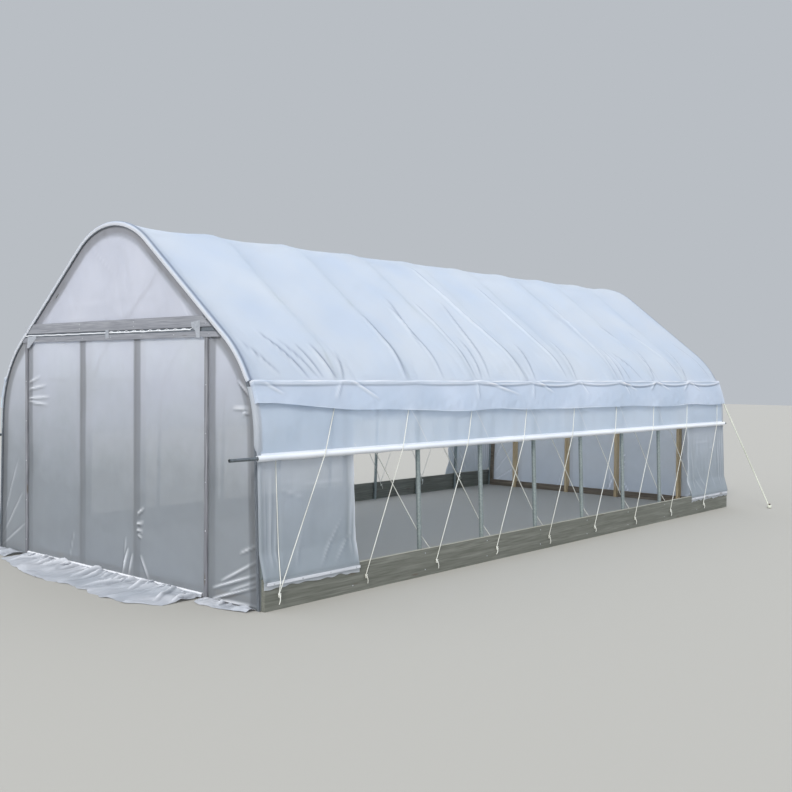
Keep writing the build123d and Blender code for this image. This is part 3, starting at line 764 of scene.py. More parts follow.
def curtain_points():
    """Grid of the right curtain: down from the hip rail, then round and round its pipe."""
    y = np.linspace(1 * MM, LENGTH - 1 * MM, int(LENGTH / CURTAIN_STEP))
    top_run = float(run_at(HIP_HEIGHT - RAIL_HALF_WIDTH - 2 * MM, CURTAIN_SKIN))
    foot_run = float(run_at(ROLL_HEIGHT, CURTAIN_SKIN))
    runs = np.linspace(top_run, foot_run, 17)
    along, run = np.meshgrid(y, runs)
    down = (run - top_run) / (foot_run - top_run)
    # Clear of the corner panels it hangs in a little between the bows
    free = np.minimum(along - CORNER_FILM_FRONT, LENGTH - CORNER_FILM_REAR - along)
    room = between_bows(along) * np.clip(free / 0.15, 0.0, 1)
    sway = 0.5 + 0.5 * hills(along, run * 0.12, 0.16, 31)
    inward = room * np.sin(math.pi * down) ** 0.5 * (4 * MM + 6 * MM * sway)
    x, z = arch(run, CURTAIN_SKIN - inward)
    hanging = np.stack([x, along, z], -1)
    # The roll: a spiral inwards, whose outer turns wander and run on past the end bow
    turns = np.linspace(0, ROLL_TURNS, int(ROLL_TURNS * TURN_STEPS) + 1)[1:, None]
    radius = ROLL_RADIUS + (ROLL_CORE - ROLL_RADIUS) * turns / ROLL_TURNS
    outer = np.clip(1 - turns / 1.2, 0, 1)
    wander = hills(y[None, :], turns * 0.1, 0.35, 32) + np.sin(2 * math.pi * (y[None, :] / 0.42 + turns))
    radius = radius + outer * 1.2 * MM * wander
    angle = math.pi + 2 * math.pi * turns
    roll_x = ROLL_X + radius * np.cos(angle)
    roll_z = ROLL_HEIGHT + radius * np.sin(angle)
    past_end = ROLL_PAST_END * np.exp(-y / 0.05)[None, :] * np.clip(turns / 0.2, 0, 1)
    return np.concatenate([hanging, np.stack([roll_x, y[None, :] - past_end, roll_z], -1)])


curtain = curtain_points()
curtains = {}
for side, far in SIDES:
    sheet = film_sheet(f"curtain_sheet_{side}", flipped(curtain, far, far), side_film, thickness=1.6 * MM)
    sheet.data.materials.append(rolled_film)
    for face in sheet.data.polygons:
        face.material_index = int(face.center.z < ROLL_HEIGHT + ROLL_OUTSIDE + 3 * MM)
    curtains[side] = sheet

# %% [markdown]
# ## Corner panels
# At each corner a fixed panel closes the gap under the curtain. It is wrapped round the end bow, stapled
# to the hip rail, and nailed to the side board under a lath. Its fourth edge is free, so it curls there.
# Pleats run up the leg of the bow, and slack folds cross the panel from the lath.

# %% Corner panel sheets
BOARD_TOP = 235 * MM
BOARD_OUT = float(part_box("side_boards_right")[1].x)
HEM_OUT = BOARD_OUT + 2.3 * MM
HEM_LOW = 165 * MM
FREE_HEIGHT = 420 * MM
# Folds as (from the front, height) at both ends, then height and half width
CORNER_FOLDS = (
    (0.07, 0.30, 0.09, 1.05, 6, 15), (0.12, 0.26, 0.15, 0.98, 5, 15), (0.02, 0.30, 0.03, 1.05, 5, 15),
    (0.18, 0.93, 0.93, 0.90, 3, 18), (0.20, 0.88, 0.45, 0.80, 4, 18), (0.55, 0.25, 0.85, 0.62, 5, 20),
    (0.70, 0.25, 0.95, 0.50, 4, 18), (0.92, 0.30, 0.97, 0.95, 5, 16), (0.30, 0.26, 0.42, 0.60, 3, 18),
)


def corner_path(heights):
    """x of a corner panel at each height: the arch, then a straight run out to the board's face."""
    on_arch = half_width(np.maximum(heights, FREE_HEIGHT), SKIN)
    arch_foot = float(half_width(FREE_HEIGHT, SKIN))
    share = np.clip((FREE_HEIGHT - heights) / (FREE_HEIGHT - BOARD_TOP), 0, 1)
    return np.where(heights > FREE_HEIGHT, on_arch, arch_foot + (HEM_OUT - arch_foot) * share)


# Below the roll the panel's edge stops beside the channel, in as many steps as it has where it is locked
short_y = np.array([-27.0, -28.2, -29.0, -29.5, -29.4, -27, -21, -12, 0]) * MM
short_grow = np.array([13, 15.5, 18.5, 22, 26, 30, 33, 33.5, 32]) * MM
STRAND_DENT = 7.5 * MM


def strand_place(height):
    """How far from the front the first inner strand is at a height. It lies on the panel and dents it."""
    heights = (0.12, 0.213, 0.44, ROLL_HEIGHT, HIP_HEIGHT)
    return np.interp(height, heights, (0.1006, 0.118, 0.160, 0.148, 0.140))


def corner_points(run_along, seed):
    """Grid of a front corner panel on the right: rows go down, columns run back from the end bow."""
    place = np.linspace(30 * MM, run_along, int(run_along / (15 * MM)))
    high = HIP_HEIGHT - RAIL_HALF_WIDTH - 2 * MM
    heights = np.concatenate([
        np.linspace(high, FREE_HEIGHT, 44), np.linspace(FREE_HEIGHT, BOARD_TOP, 9)[1:],
        np.linspace(BOARD_TOP, HEM_LOW, 5)[1:]])
    along, height = np.meshgrid(np.concatenate([wrap_y[:-1], place]), heights)
    # Above the roll the front edge is locked in its channel, and below the roll it stops beside it
    locked = np.clip((heights - ROLL_HEIGHT - 30 * MM) / 0.05, 0, 1)[:, None]
    wraps = len(short_y)
    along[:, :wraps] = short_y + (wrap_y[:-1] - short_y) * locked
    lift = np.zeros_like(along)
    lift[:, :wraps] = short_grow + (wrap_grow[:-1] - short_grow) * locked - SKIN
    pressed = np.abs(height - ROLL_HEIGHT) < 45 * MM        # the roll presses the fold flat on the bow
    lift = np.where(pressed, np.minimum(lift, 1.3 * MM), lift)
    # Between the roll and the board it is slack, and its free edge curls
    below_roll = np.clip((ROLL_HEIGHT - 60 * MM - height) / 0.12, 0, 1)
    above_board = np.clip((height - BOARD_TOP) / 0.10, 0, 1)
    loose = below_roll * above_board * np.clip(along / 0.05, 0, 1)
    slack = 3.0 * MM * hills(along, height, 0.38, seed)
    slack += 1.2 * MM * hills(along, height * 0.3, 0.09, seed + 1)
    swell = loose * (slack + folded(along, height, CORNER_FOLDS))
    free_edge = np.clip(1 - (run_along - along) / 0.06, 0, 1) ** 2
    swell += loose * free_edge * 6 * MM * (0.6 + hills(along * 0, height, 0.3, seed + 2))
    # The first inner strand presses it in
    dent = bell(along - strand_place(height), 20 * MM) * np.clip((height - 0.30) / 0.12, 0, 1)
    swell = swell * (1 - dent) - STRAND_DENT * dent
    # Its hem waves below the lath, and is cut unevenly
    hem = np.clip((BOARD_TOP - height) / 0.05, 0, 1)
    below_lath = height < BOARD_TOP - 46 * MM
    swell += hem * 2.2 * MM * (0.5 + 0.5 * hills(along, height, 0.08, seed + 3)) * below_lath
    ragged = 7 * MM * hills(along, 0 * along, 0.12, seed + 4) * (height < HEM_LOW + 1 * MM)
    x = corner_path(height) + lift * (height > FREE_HEIGHT - 0.2) + swell
    # Tone: painted highlight and painted shade along the folds, a painted highlight on the curled free
    # edge, and a lighter hem
    tone = above_board * (crease_tone(along, height, CORNER_FOLDS, 0.5, 0.4, 13 * MM) + 0.6 * free_edge)
    return np.stack([x, along, height + ragged], -1), tone + 0.5 * hem


corner_panels = []
for side, far in SIDES:
    for end, rear, run_along, seed in (
            ("front", False, CORNER_FILM_FRONT, 41), ("rear", True, CORNER_FILM_REAR, 51)):
        points, tone = corner_points(run_along, seed)
        panel = film_sheet(f"corner_panel_{side}_{end}", flipped(points, far, rear), corner_film, tone)
        corner_panels.append((side, panel))

# %% [markdown]
# ## End walls
# Two sheets cover each end: one fills the gable above the header, and one hangs from the lock channel
# down to the ground. Both lie flat on the posts and are free between them. Film pulled round a post makes
# short crescents beside it, and the bay at the corner is pulled from the foot of the post up to the leg.

# %% Wall and gable sheets
WALL_FACE = -23.3 * MM         # middle of the wall film
TRIM_FACE = -25.6 * MM         # back of what is nailed over it
STUD_PLACES = (-1.430, -0.480, 0.360, 1.330)
CHANNEL_HEIGHT = 2.1030
WALL_FOOT = 6 * MM
# Film that touches wood gets no light from behind, so it is painted darker there and just beside it, as
# painted shade, with the dust it holds
NAILER_REACH = 98 * MM        # how far the nailer goes from the middle of the pipe
TOUCH_SHADE = 0.5
# Folds as (across, height) at both ends, then height and half width
WALL_FOLDS = (
    (1.40, 0.095, 1.95, 0.275, 13, 12), (1.40, 0.01, 1.95, 0.185, 17, 13),
    (1.40, 0.012, 1.97, 0.028, 12, 11),
    (1.50, 0.16, 1.94, 0.375, 10, 12), (1.72, 0.40, 1.95, 0.50, 8, 11), (1.60, 0.10, 1.95, 0.225, 7, 11),
    (1.74, 1.455, 1.84, 1.475, 10, 11), (1.64, 1.50, 1.84, 1.50, 11, 11), (1.69, 1.71, 1.84, 1.59, 10, 12),
    (-1.41, 1.595, -1.08, 1.64, 12, 13), (-1.41, 1.51, -1.02, 1.53, 12, 12),
    (-1.41, 1.48, -1.04, 1.455, 10, 12),
    (-1.41, 1.66, -1.20, 1.72, 8, 13), (0.39, 0.57, 0.49, 0.63, 14, 11), (0.385, 0.49, 0.48, 0.505, 15, 10),
    (0.385, 0.44, 0.47, 0.425, 13, 10), (0.40, 0.40, 0.46, 0.37, 9, 10), (0.265, 0.27, 0.175, 0.03, 11, 12),
    (0.325, 0.23, 0.268, 0.03, 9, 12), (0.44, 0.23, 0.565, 0.03, 9, 12), (0.23, 0.36, 0.21, 0.08, 5, 12),
    (-0.59, 0.32, -0.685, 0.03, 3, 20), (-1.62, 0.9, -1.92, 0.25, 4, 20), (-1.52, 0.6, -1.93, 0.12, 5, 20),
    (-1.47, 0.30, -1.94, 0.03, 5, 18),
)
GABLE_FOLDS = (
    (-1.20, 2.13, -1.02, 2.40, 2, 24), (-1.06, 2.12, -0.98, 2.34, 2, 24), (-0.80, 2.35, 0.70, 2.42, 1, 40),
    (-0.90, 2.24, 0.95, 2.27, 1, 40), (1.15, 2.13, 0.98, 2.34, 2, 24), (-0.30, 2.85, 0.05, 2.60, 1, 30),
)


def from_pipe(across, height):
    """How far places on an end wall are from the middle of the end bow's pipe."""
    x, z = arch(np.linspace(0, HALF_RUN, 240))
    return np.hypot(np.abs(across)[..., None] - x, height[..., None] - z).min(-1)


def wall_points(heights, share, supports, folds, seed, sag):
    """Grid of film on the front wall: rows go up it, columns across it, as shares of its half width."""
    width = half_width(heights, BOW_RADIUS - 1 * MM)
    across = share[None, :] * width[:, None]
    height = np.repeat(heights[:, None], len(share), 1)
    from_edge = width[:, None] - np.abs(across)
    # It is held on the posts and along its edges, and free between them
    free = held_between(across, supports, 0.16) if supports else np.ones_like(across)
    free = free * np.clip((from_edge - 60 * MM) / 0.12, 0, 1)
    top_low = np.minimum(height - heights[0], heights[-1] - height)
    free = free * np.clip(top_low / 0.12, 0, 1)
    wrinkles = 1.3 * MM * hills(across, height * 0.45, 0.12, seed + 1)
    swell = free * (sag * hills(across, height * 1.3, 0.75, seed) + wrinkles)
    # Folds end where the film is locked to the arch
    near_edge = np.clip((from_edge - 10 * MM) / (30 * MM), 0, 1)
    swell += near_edge * folded(across, height, folds)
    tone = near_edge * crease_tone(across, height, folds, 0.85, 0.4, 11 * MM)
    # Film on the nailer gets painted shade, with dust
    touched = np.clip((NAILER_REACH - from_pipe(across, height)) / (24 * MM) + 0.5, 0, 1)
    return np.stack([across, WALL_FACE - swell, height], -1), tone - TOUCH_SHADE * touched


WALL_HEAD = CHANNEL_HEIGHT - 1 * MM


def stepped(start, steps):
    """Places from a start on, given as (end, how many steps to it)."""
    places = [start]
    for end, count in steps:
        places += list(np.linspace(places[-1], end, count + 1)[1:])
    return np.array(places)


def wall_grid(rows, columns):
    """Film below the lock channel, with its rows by height and its columns by share of the half width."""
    heights, shares = stepped(WALL_FOOT, rows), stepped(-1.0, columns)
    return wall_points(heights, shares, STUD_PLACES, WALL_FOLDS, 61, 3.5 * MM)


# Rows and columns are close where folds are: low down, beside the middle post and in the right corner
wall_front = wall_grid(
    ((0.40, 36), (0.66, 14), (1.40, 16), (1.75, 22), (WALL_HEAD, 10)),
    ((-0.78, 20), (-0.68, 16), (0.08, 55), (0.32, 40), (0.62, 18), (0.72, 14), (1.0, 54)))
wall_rear = wall_grid(((0.66, 26), (1.40, 14), (1.75, 18), (WALL_HEAD, 8)), ((1.0, 160),))

gable_low, gable_top = CHANNEL_HEIGHT + 1 * MM, RIDGE_HEIGHT + BOW_RADIUS - 3 * MM
rise = 1 - (1 - np.linspace(0, 1, 36)) ** 1.8
gable = wall_points(
    gable_low + rise * (gable_top - gable_low), np.linspace(-1, 1, 140), (), GABLE_FOLDS, 71, 3.0 * MM)

walls = {}
for name, (points, tone), material, rear in (
        ("front_wall_sheet", wall_front, wall_film, False),
        ("rear_wall_sheet", wall_rear, rear_film, True),
        ("front_gable_sheet", gable, gable_film, False),
        ("rear_gable_sheet", gable, gable_film, True)):
    walls[name] = film_sheet(name, flipped(points, rear=rear), material, tone)

# %% [markdown]
# ## Spare film at the foot
# The wall film was cut long. It is rolled once round the foot batten, which shows as a bright bead, and
# what is left lies out on the ground. It bunches into ruffles where the batten pins it, and is almost
# flat at its torn edge. The ruffles are waves across the wall that die out with distance. A few stronger
# folds run out at a slant. The first rows of the grid follow the section of the batten, and the rest lie
# on the ground.

# %% Skirt sheets
FOOT_TRACE = (
    (-1.400, 0.280), (-1.180, 0.325), (-1.000, 0.380), (-0.700, 0.455), (-0.400, 0.500), (-0.100, 0.495),
    (0.100, 0.460), (0.400, 0.500), (0.684, 0.535), (0.850, 0.520), (1.000, 0.530), (1.180, 0.430),
    (1.290, 0.400),
)
SIDE_TRACE = ((1.365, 0.150), (1.480, 0.175), (1.600, 0.160), (1.760, 0.150), (1.925, 0.100))
FAR_TRACE = ((-1.925, 0.080), (-1.760, 0.150), (-1.600, 0.190), (-1.470, 0.230))
SKIRT_FOLDS = (
    (-1.10, 0.02, -1.22, 0.30, 26, 24), (-0.62, 0.01, -0.74, 0.26, 40, 20),
    (-0.50, 0.01, -0.46, 0.22, 34, 18),
    (-0.10, 0.01, -0.13, 0.32, 42, 20), (-0.04, 0.01, -0.02, 0.26, 30, 18),
    (0.42, 0.02, 0.22, 0.42, 30, 26),
    (0.60, 0.01, 0.64, 0.26, 26, 20), (0.95, 0.02, 1.16, 0.38, 26, 26), (1.20, 0.02, 1.26, 0.30, 20, 22),
    (-0.90, 0.02, -0.84, 0.28, 26, 20), (0.28, 0.01, 0.31, 0.22, 24, 18), (1.55, 0.01, 1.62, 0.13, 15, 20),
    (-0.72, 0.02, -0.86, 0.18, 24, 16), (0.05, 0.01, 0.10, 0.16, 22, 15), (1.42, 0.01, 1.40, 0.14, 13, 16),
)
# Section over the foot batten as (out from the film, height)
BATTEN_WRAP = ((0.5, 30), (1.0, 37), (6.0, 38), (13.0, 37), (16.2, 33), (16.8, 25), (17.5, 17), (19.5, 9))


def skirt_pleats():
    """Short sharp pleats where the batten pins the film, laid out by chance."""
    draw = np.random.default_rng(85)
    pleats = []
    for start in np.sort(draw.uniform(-1.36, 1.20, 46)):
        reach = 0.05 + 0.13 * draw.uniform() ** 2
        end = start + draw.uniform(-0.35, 0.25) * reach
        pleats.append((start, 0.012, end, reach, draw.uniform(7, 12), 11))
    return pleats


def skirt_points(trace, columns, seed, wrapped):
    """Grid of spare film: rows go out from the wall, columns run along it."""
    x = np.linspace(trace[0][0], trace[-1][0], columns)
    reach = np.interp(x, *zip(*trace)) + 9 * MM * hills(x, 0 * x, 0.16, seed)
    start = 22 * MM if wrapped else 1 * MM
    out = start + (np.linspace(0, 1, 26) ** 1.25)[:, None] * (reach - start)
    across = np.repeat(x[None, :], len(out), 0)
    # How near the wall each point is
    near = np.exp(-out / 0.16)
    # Ruffles with sharp crests stand close by the wall
    crests = np.clip(1 - 1.3 * np.abs(hills(across, out * 0.22, 0.15, seed + 1)), 0, 1)
    ruffle = (crests * 34 + 8 * np.abs(hills(across, out, 0.07, seed + 4))) * MM
    ruffle *= near * np.clip(out / 0.03, 0.1, 1)
    if not wrapped:
        ruffle *= 0.55
    # Longer ridges and a slow roll go further out
    ridges = np.clip(1 - 2.2 * np.abs(hills(across + 0.3 * out, out * 0.5, 0.42, seed + 5)), 0, 1) * 15 * MM
    roll = 5 * MM * (1 + hills(across, out, 0.24, seed + 2)) * np.clip(out / 0.05, 0, 1)
    height = 2.5 * MM + ruffle + roll + ridges * np.clip(out / 0.05, 0, 1)
    height += np.maximum(folded(across, out, SKIRT_FOLDS), -2 * MM)
    # Tone: painted highlight on the crests of folds and ruffles, painted shade beside the folds and close
    # by the wall
    tone = crease_tone(across, out, SKIRT_FOLDS, 0.6, 0.5, 14 * MM)
    tone += 0.7 * (ruffle / (34 * MM)) - 0.25 * near
    if wrapped:
        pleats = skirt_pleats()
        height += folded(across, out, pleats, 0.8)
        tone += crease_tone(across, out, pleats, 1.1, 1.0, 7 * MM)
    # The torn edge lies almost flat
    edge = np.clip((reach - out) / 0.03, 0, 1)
    height = np.maximum(1.6 * MM + (height - 1.6 * MM) * (0.35 + 0.65 * edge), 1.3 * MM)
    if wrapped:
        section = np.array(BATTEN_WRAP) * MM
        pinch = 1.6 * MM * np.abs(hills(x, 0 * x, 0.05, seed + 3))
        over = np.repeat(section[:, 0][:, None], columns, 1) + pinch * (section[:, 0] > 15 * MM)[:, None]
        tops = np.repeat(section[:, 1][:, None], columns, 1) + pinch * (section[:, 1] > 36 * MM)[:, None]
        out, height = np.concatenate([over, out]), np.concatenate([tops, height])
        # The top of the film over the batten is painted bright, as a painted highlight
        tone = np.concatenate([np.repeat((section[:, 1] > 30 * MM)[:, None] * 1.0, columns, 1), tone])
        across = np.repeat(x[None, :], len(out), 0)
    return np.stack([across, TRIM_FACE - out, height], -1), tone


SKIRTS = (
    ("middle", FOOT_TRACE, 420, 81, True), ("side", SIDE_TRACE, 50, 91, False),
    ("far", FAR_TRACE, 40, 101, False),
)
skirts = []
for end, rear in ENDS:
    for name, trace, columns, seed, wrapped in SKIRTS:
        points, tone = skirt_points(trace, columns * 2 // 3 if rear else columns, seed, wrapped)
        skirt = film_sheet(f"{end}_skirt_{name}", flipped(points, rear=rear), loose_film, tone)
        skirts.append((end, name, trace, skirt))

# %% [markdown]
# ## Pipes and cords by Geometry Nodes
# A pipe, a wire and a rope are all a section carried along a line, so two small node trees make them all.
# The pipe tree carries a circle. The rope tree carries a section with three lobes and turns it with
# length, which gives the three twisted strands of laid cord. The lay is drawn about twice as long as it
# is in life, so that the twist still shows from across the yard.

# %% Node trees


def new_tree(name, **inputs):
    """An empty geometry tree that takes a mesh and these inputs, each a name and its kind."""
    tree = bpy.data.node_groups.new(name, "GeometryNodeTree")
    tree.interface.new_socket("mesh", in_out="INPUT", socket_type="NodeSocketGeometry")
    tree.interface.new_socket("mesh", in_out="OUTPUT", socket_type="NodeSocketGeometry")
    for label, kind in inputs.items():
        tree.interface.new_socket(label, in_out="INPUT", socket_type="NodeSocket" + kind)
    return tree, add(tree, "NodeGroupInput").outputs


def close_tree(tree, geometry, material):
    """Realize what the tree made, give it its material and send it out."""
    real = add(tree, "GeometryNodeRealizeInstances", (geometry,))
    smooth = add(tree, "GeometryNodeSetShadeSmooth", (real,))
    painted = add(tree, "GeometryNodeSetMaterial", {"Geometry": smooth, "Material": material})
    add(tree, "NodeGroupOutput", (painted,))


def pipe_tree():
    tree, given = new_tree("round_section_along_a_line", radius="Float", sides="Int", material="Material")
    line = add(tree, "GeometryNodeMeshToCurve", {"Mesh": given["mesh"]})
    circle = add(tree, "GeometryNodeCurvePrimitiveCircle", {
        "Resolution": given["sides"], "Radius": given["radius"]})
    pipe = add(tree, "GeometryNodeCurveToMesh", {"Curve": line, "Profile Curve": circle, "Fill Caps": True})
    close_tree(tree, pipe, given["material"])
    return tree


LOBES, LOBE_POINTS = 3, 4


def rope_tree():
    tree, given = new_tree("three_strand_rope", radius="Float", lay="Float", step="Float",
                           bend_radius="Float", material="Material")
    line = add(tree, "GeometryNodeMeshToCurve", {"Mesh": given["mesh"]})
    bent = add(tree, "GeometryNodeFilletCurve", {
        "Curve": line, "Radius": given["bend_radius"], "Limit Radius": True, "Count": 4}, mode="POLY")
    even = add(tree, "GeometryNodeResampleCurve", {"Curve": bent, "Length": given["step"]}, mode="LENGTH")
    length = add(tree, "GeometryNodeSplineParameter").outputs["Length"]
    turns = add(tree, "ShaderNodeMath", (length, given["lay"]), operation="DIVIDE")
    tilt = add(tree, "ShaderNodeMath", (turns, 2 * math.pi), operation="MULTIPLY")
    laid = add(tree, "GeometryNodeSetCurveTilt", {"Curve": even, "Tilt": tilt})
    circle = add(tree, "GeometryNodeCurvePrimitiveCircle", {
        "Resolution": LOBES * LOBE_POINTS, "Radius": given["radius"]})
    number = add(tree, "GeometryNodeInputIndex")
    phase = add(tree, "ShaderNodeMath", (number, 2 * math.pi / LOBE_POINTS), operation="MULTIPLY")
    wave = add(tree, "ShaderNodeMath", (phase,), operation="COSINE")
    size = add(tree, "ShaderNodeMath", (wave, 0.16, 0.88), operation="MULTIPLY_ADD")
    spot = add(tree, "GeometryNodeInputPosition")
    lobed = add(tree, "ShaderNodeVectorMath", (spot, size), operation="SCALE")
    section = add(tree, "GeometryNodeSetPosition", {"Geometry": circle, "Position": lobed})
    rope = add(tree, "GeometryNodeCurveToMesh", {
        "Curve": laid, "Profile Curve": section, "Fill Caps": True})
    close_tree(tree, rope, given["material"])
    return tree


def lines_mesh(name, lines):
    """A mesh of bare edges, one run of them for each line of points."""
    points, edges = [], []
    for line in lines:
        first = len(points)
        points.extend(line)
        edges += [(spot, spot + 1) for spot in range(first, len(points) - 1)]
    return bare_mesh(name, points, edges)


def grown(name, base, tree, **given):
    """Run a node tree over a base mesh and keep the result as a plain mesh."""
    holder = link(bpy.data.objects.new(name + "_base", base))
    modifier = holder.modifiers.new("nodes", "NODES")
    modifier.node_group = tree
    for socket in tree.interface.items_tree:
        if socket.in_out == "INPUT" and socket.name in given:
            modifier[socket.identifier] = given[socket.name]
    return plain_piece(name, holder)


PIPE, ROPE = pipe_tree(), rope_tree()
print("node trees:", PIPE.name, ROPE.name)

# %% [markdown]
# ## Bows
# The bows in the frame have six flat sides, which is enough for weight and collision. Here each gets its
# round section back, at the same place, with the bend worked out every three degrees.

# %% Round bows
BEND_STEP = math.radians(3)
shoulder_start = RIDGE_RUN + RAFTER_RUN
half_bow = np.unique(np.concatenate([
    np.arange(0, RIDGE_RUN, RIDGE_RADIUS * BEND_STEP), [RIDGE_RUN, shoulder_start],
    shoulder_start + np.arange(0, SHOULDER_RUN, SHOULDER_RADIUS * BEND_STEP),
    [HALF_RUN - LEG_RUN, HALF_RUN - 1 * MM]]))
bow_x, bow_z = arch(np.concatenate([-half_bow[:0:-1], half_bow]))

bow_tubes = []
for bow in range(BOW_COUNT):
    name = f"bow_tube_{bow + 1}"
    base = lines_mesh(name, [np.stack([bow_x, np.full(len(bow_x), bow * BOW_SPACING), bow_z], -1)])
    bow_tubes.append(grown(name, base, PIPE, radius=BOW_RADIUS, sides=20, material=zinc))

# %% [markdown]
# ## Lacing
# Cord zigzags along each side to keep the curtain from flapping. Outside it each strand climbs to the
# rear, from an eye on the board, over the roll and up to the hip. Inside it each climbs to the front,
# round a leg. The strands are pulled tight, so they are straight between the things they bend round.
# Every strand ends at an eye in a knot with a short tail.

# %% Lacing strands
EYE_HEIGHT, INNER_EYE_HEIGHT = 120 * MM, 190 * MM
BATTEN_EDGE = 213 * MM        # where a strand bends over the lath
EYES = [0.11] + [bay + 0.16 for bay in range(1, BOW_COUNT - 1)]
CORD_CLEAR = ROPE_RADIUS + 0.6 * MM
ROLL_WRAP = ROLL_OUTSIDE + CORD_CLEAR
CURTAIN_WRAP = SHOULDER_RADIUS + 29.6 * MM + CORD_CLEAR
BATTEN_OUT = float(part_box("corner_battens")[1].x)

from_middle = Vector((ROLL_X + ROLL_WRAP - shoulder_x, ROLL_HEIGHT - shoulder_z))
touch = math.atan2(from_middle.y, from_middle.x) + math.acos(CURTAIN_WRAP / from_middle.length)
OVER_ROLL = (ROLL_X + ROLL_WRAP, ROLL_HEIGHT + ROLL_WRAP * math.tan(touch / 2))
CORD_TOP = HIP_HEIGHT - RAIL_HALF_WIDTH - ROPE_RADIUS
CORD_TOP_X = shoulder_x + (CURTAIN_WRAP - (CORD_TOP - shoulder_z) * math.sin(touch)) / math.cos(touch)


def outer_strand(bay):
    """Points of the strand outside the curtain in one bay."""
    start, end = EYES[bay] * BOW_SPACING, (bay + 1) * BOW_SPACING - 2 * BOW_RADIUS
    over_batten = start < CORNER_FILM_FRONT or start > LENGTH - CORNER_FILM_REAR
    face, edge = (BATTEN_OUT, BATTEN_EDGE) if over_batten else (BOARD_OUT, BOARD_TOP)
    roll_x, roll_top = OVER_ROLL
    lean = (face + CORD_CLEAR - roll_x) / (roll_top - edge)
    share = (roll_top - EYE_HEIGHT) / (CORD_TOP - EYE_HEIGHT)
    return [(roll_x + lean * (roll_top - EYE_HEIGHT), start, EYE_HEIGHT),
            (roll_x, start + share * (end - start), roll_top), (CORD_TOP_X, end, CORD_TOP)]


def first_inner_strand():
    """The first strand shares the front eye. It crosses the lath, lies on the corner panel and goes up
    between the panel and the curtain."""
    heights = (0.44, 0.80, 1.05, 1.20, 1.32, 1.44, 1.56, CORD_TOP)
    across = [outer_strand(0)[0][0], BATTEN_OUT + CORD_CLEAR]
    across += [float(half_width(height, SKIN - STRAND_DENT + CORD_CLEAR)) for height in heights]
    return [(x, float(strand_place(z)), z) for x, z in zip(across, (EYE_HEIGHT, BATTEN_EDGE, *heights))]


def inner_strand(bay):
    """Points of the strand inside the curtain: to the leg before it, and up beside the next bow forward."""
    if bay == 0:
        return first_inner_strand()
    board_inside = BOARD_OUT - 38 * MM
    leg_x = half_width(INNER_BEND_HEIGHT, -BOW_RADIUS - ROPE_RADIUS - 3.5 * MM)
    tied = (bay - 1) * BOW_SPACING + BOW_RADIUS + ROPE_RADIUS
    return [(board_inside - ROPE_RADIUS - 0.3 * MM, EYES[bay] * BOW_SPACING, INNER_EYE_HEIGHT),
            (leg_x, bay * BOW_SPACING, INNER_BEND_HEIGHT), (half_width(HIP_HEIGHT), tied, HIP_HEIGHT)]


def both_sides(kind, lines, **given):
    """Rope along lines on the right and, mirrored, on the left."""
    made = {}
    for side, left in SIDES:
        name = f"{kind}_{side}"
        base = lines_mesh(name, [flipped(line, left) for line in lines])
        made[side] = grown(name, base, ROPE, material=white_cord, lay=60 * MM, **given)
    return made


strands = [make(bay) for bay in range(BOW_COUNT - 1) for make in (outer_strand, inner_strand)]
lacing_cords = both_sides(
    "lacing_cord", strands, radius=ROPE_RADIUS * 1.15, step=13 * MM, bend_radius=ROLL_WRAP)

# %% Knots and tails
KNOT_SIZE = 5.2 * MM


def knot(middle, out):
    """A trefoil, the shape of an overhand knot pulled up, standing out from a face along +X or -X."""
    turn = np.linspace(0, 2 * math.pi, 40)
    off = -1.2 * out * np.sin(3 * turn)
    along = 0.8 * (np.sin(turn) + 2 * np.sin(2 * turn))
    return middle + KNOT_SIZE * np.stack([off, along, np.cos(turn) - 2 * np.cos(2 * turn)], -1)


def tail(middle, out, length, lean):
    """A cut end that hangs from a knot and stands off the board a little."""
    share = np.linspace(0, 1, 7)
    off = out * (4 * MM + 9 * MM * np.sin(3 * share))
    return middle + np.stack([off, lean * share, -length * share], -1)


draw = np.random.default_rng(9)


def knot_and_tail(middle, out, shortest, longest):
    length, lean = draw.uniform(shortest, longest) * MM, draw.uniform(-20, 20) * MM
    return [knot(middle, out), tail(middle, out, length, lean)]


knot_lines = []
for bay in range(BOW_COUNT - 1):
    x, y, z = outer_strand(bay)[0]
    knot_lines += knot_and_tail((x + 6 * MM, y, z - 6 * MM), 1, 45, 70)
    if bay:
        x, y, z = inner_strand(bay)[0]
        knot_lines += knot_and_tail((x - 8 * MM, y, z), -1, 40, 60)
lacing_knots = both_sides(
    "lacing_knots", knot_lines, radius=ROPE_RADIUS * 1.1, step=7 * MM, bend_radius=0.2 * MM)

# %% [markdown]
# ## Stays at the rear
# Two heavier ropes run from the end bow down to stakes, pulled tight. The rope is knotted round the
# stake, so a few turns of it are wound there, with the end left hanging.

# %% Stays and their knots
STAY_RADIUS = 8 * MM
stay_height = HIP_HEIGHT - 83 * MM
stay_top = np.array([float(half_width(stay_height)), LENGTH + 44 * MM, stay_height])
stay_foot = np.array([2.472, LENGTH + 0.295, 52 * MM])
STAKE_WRAP = 20 * MM          # from the stake's middle to the rope's

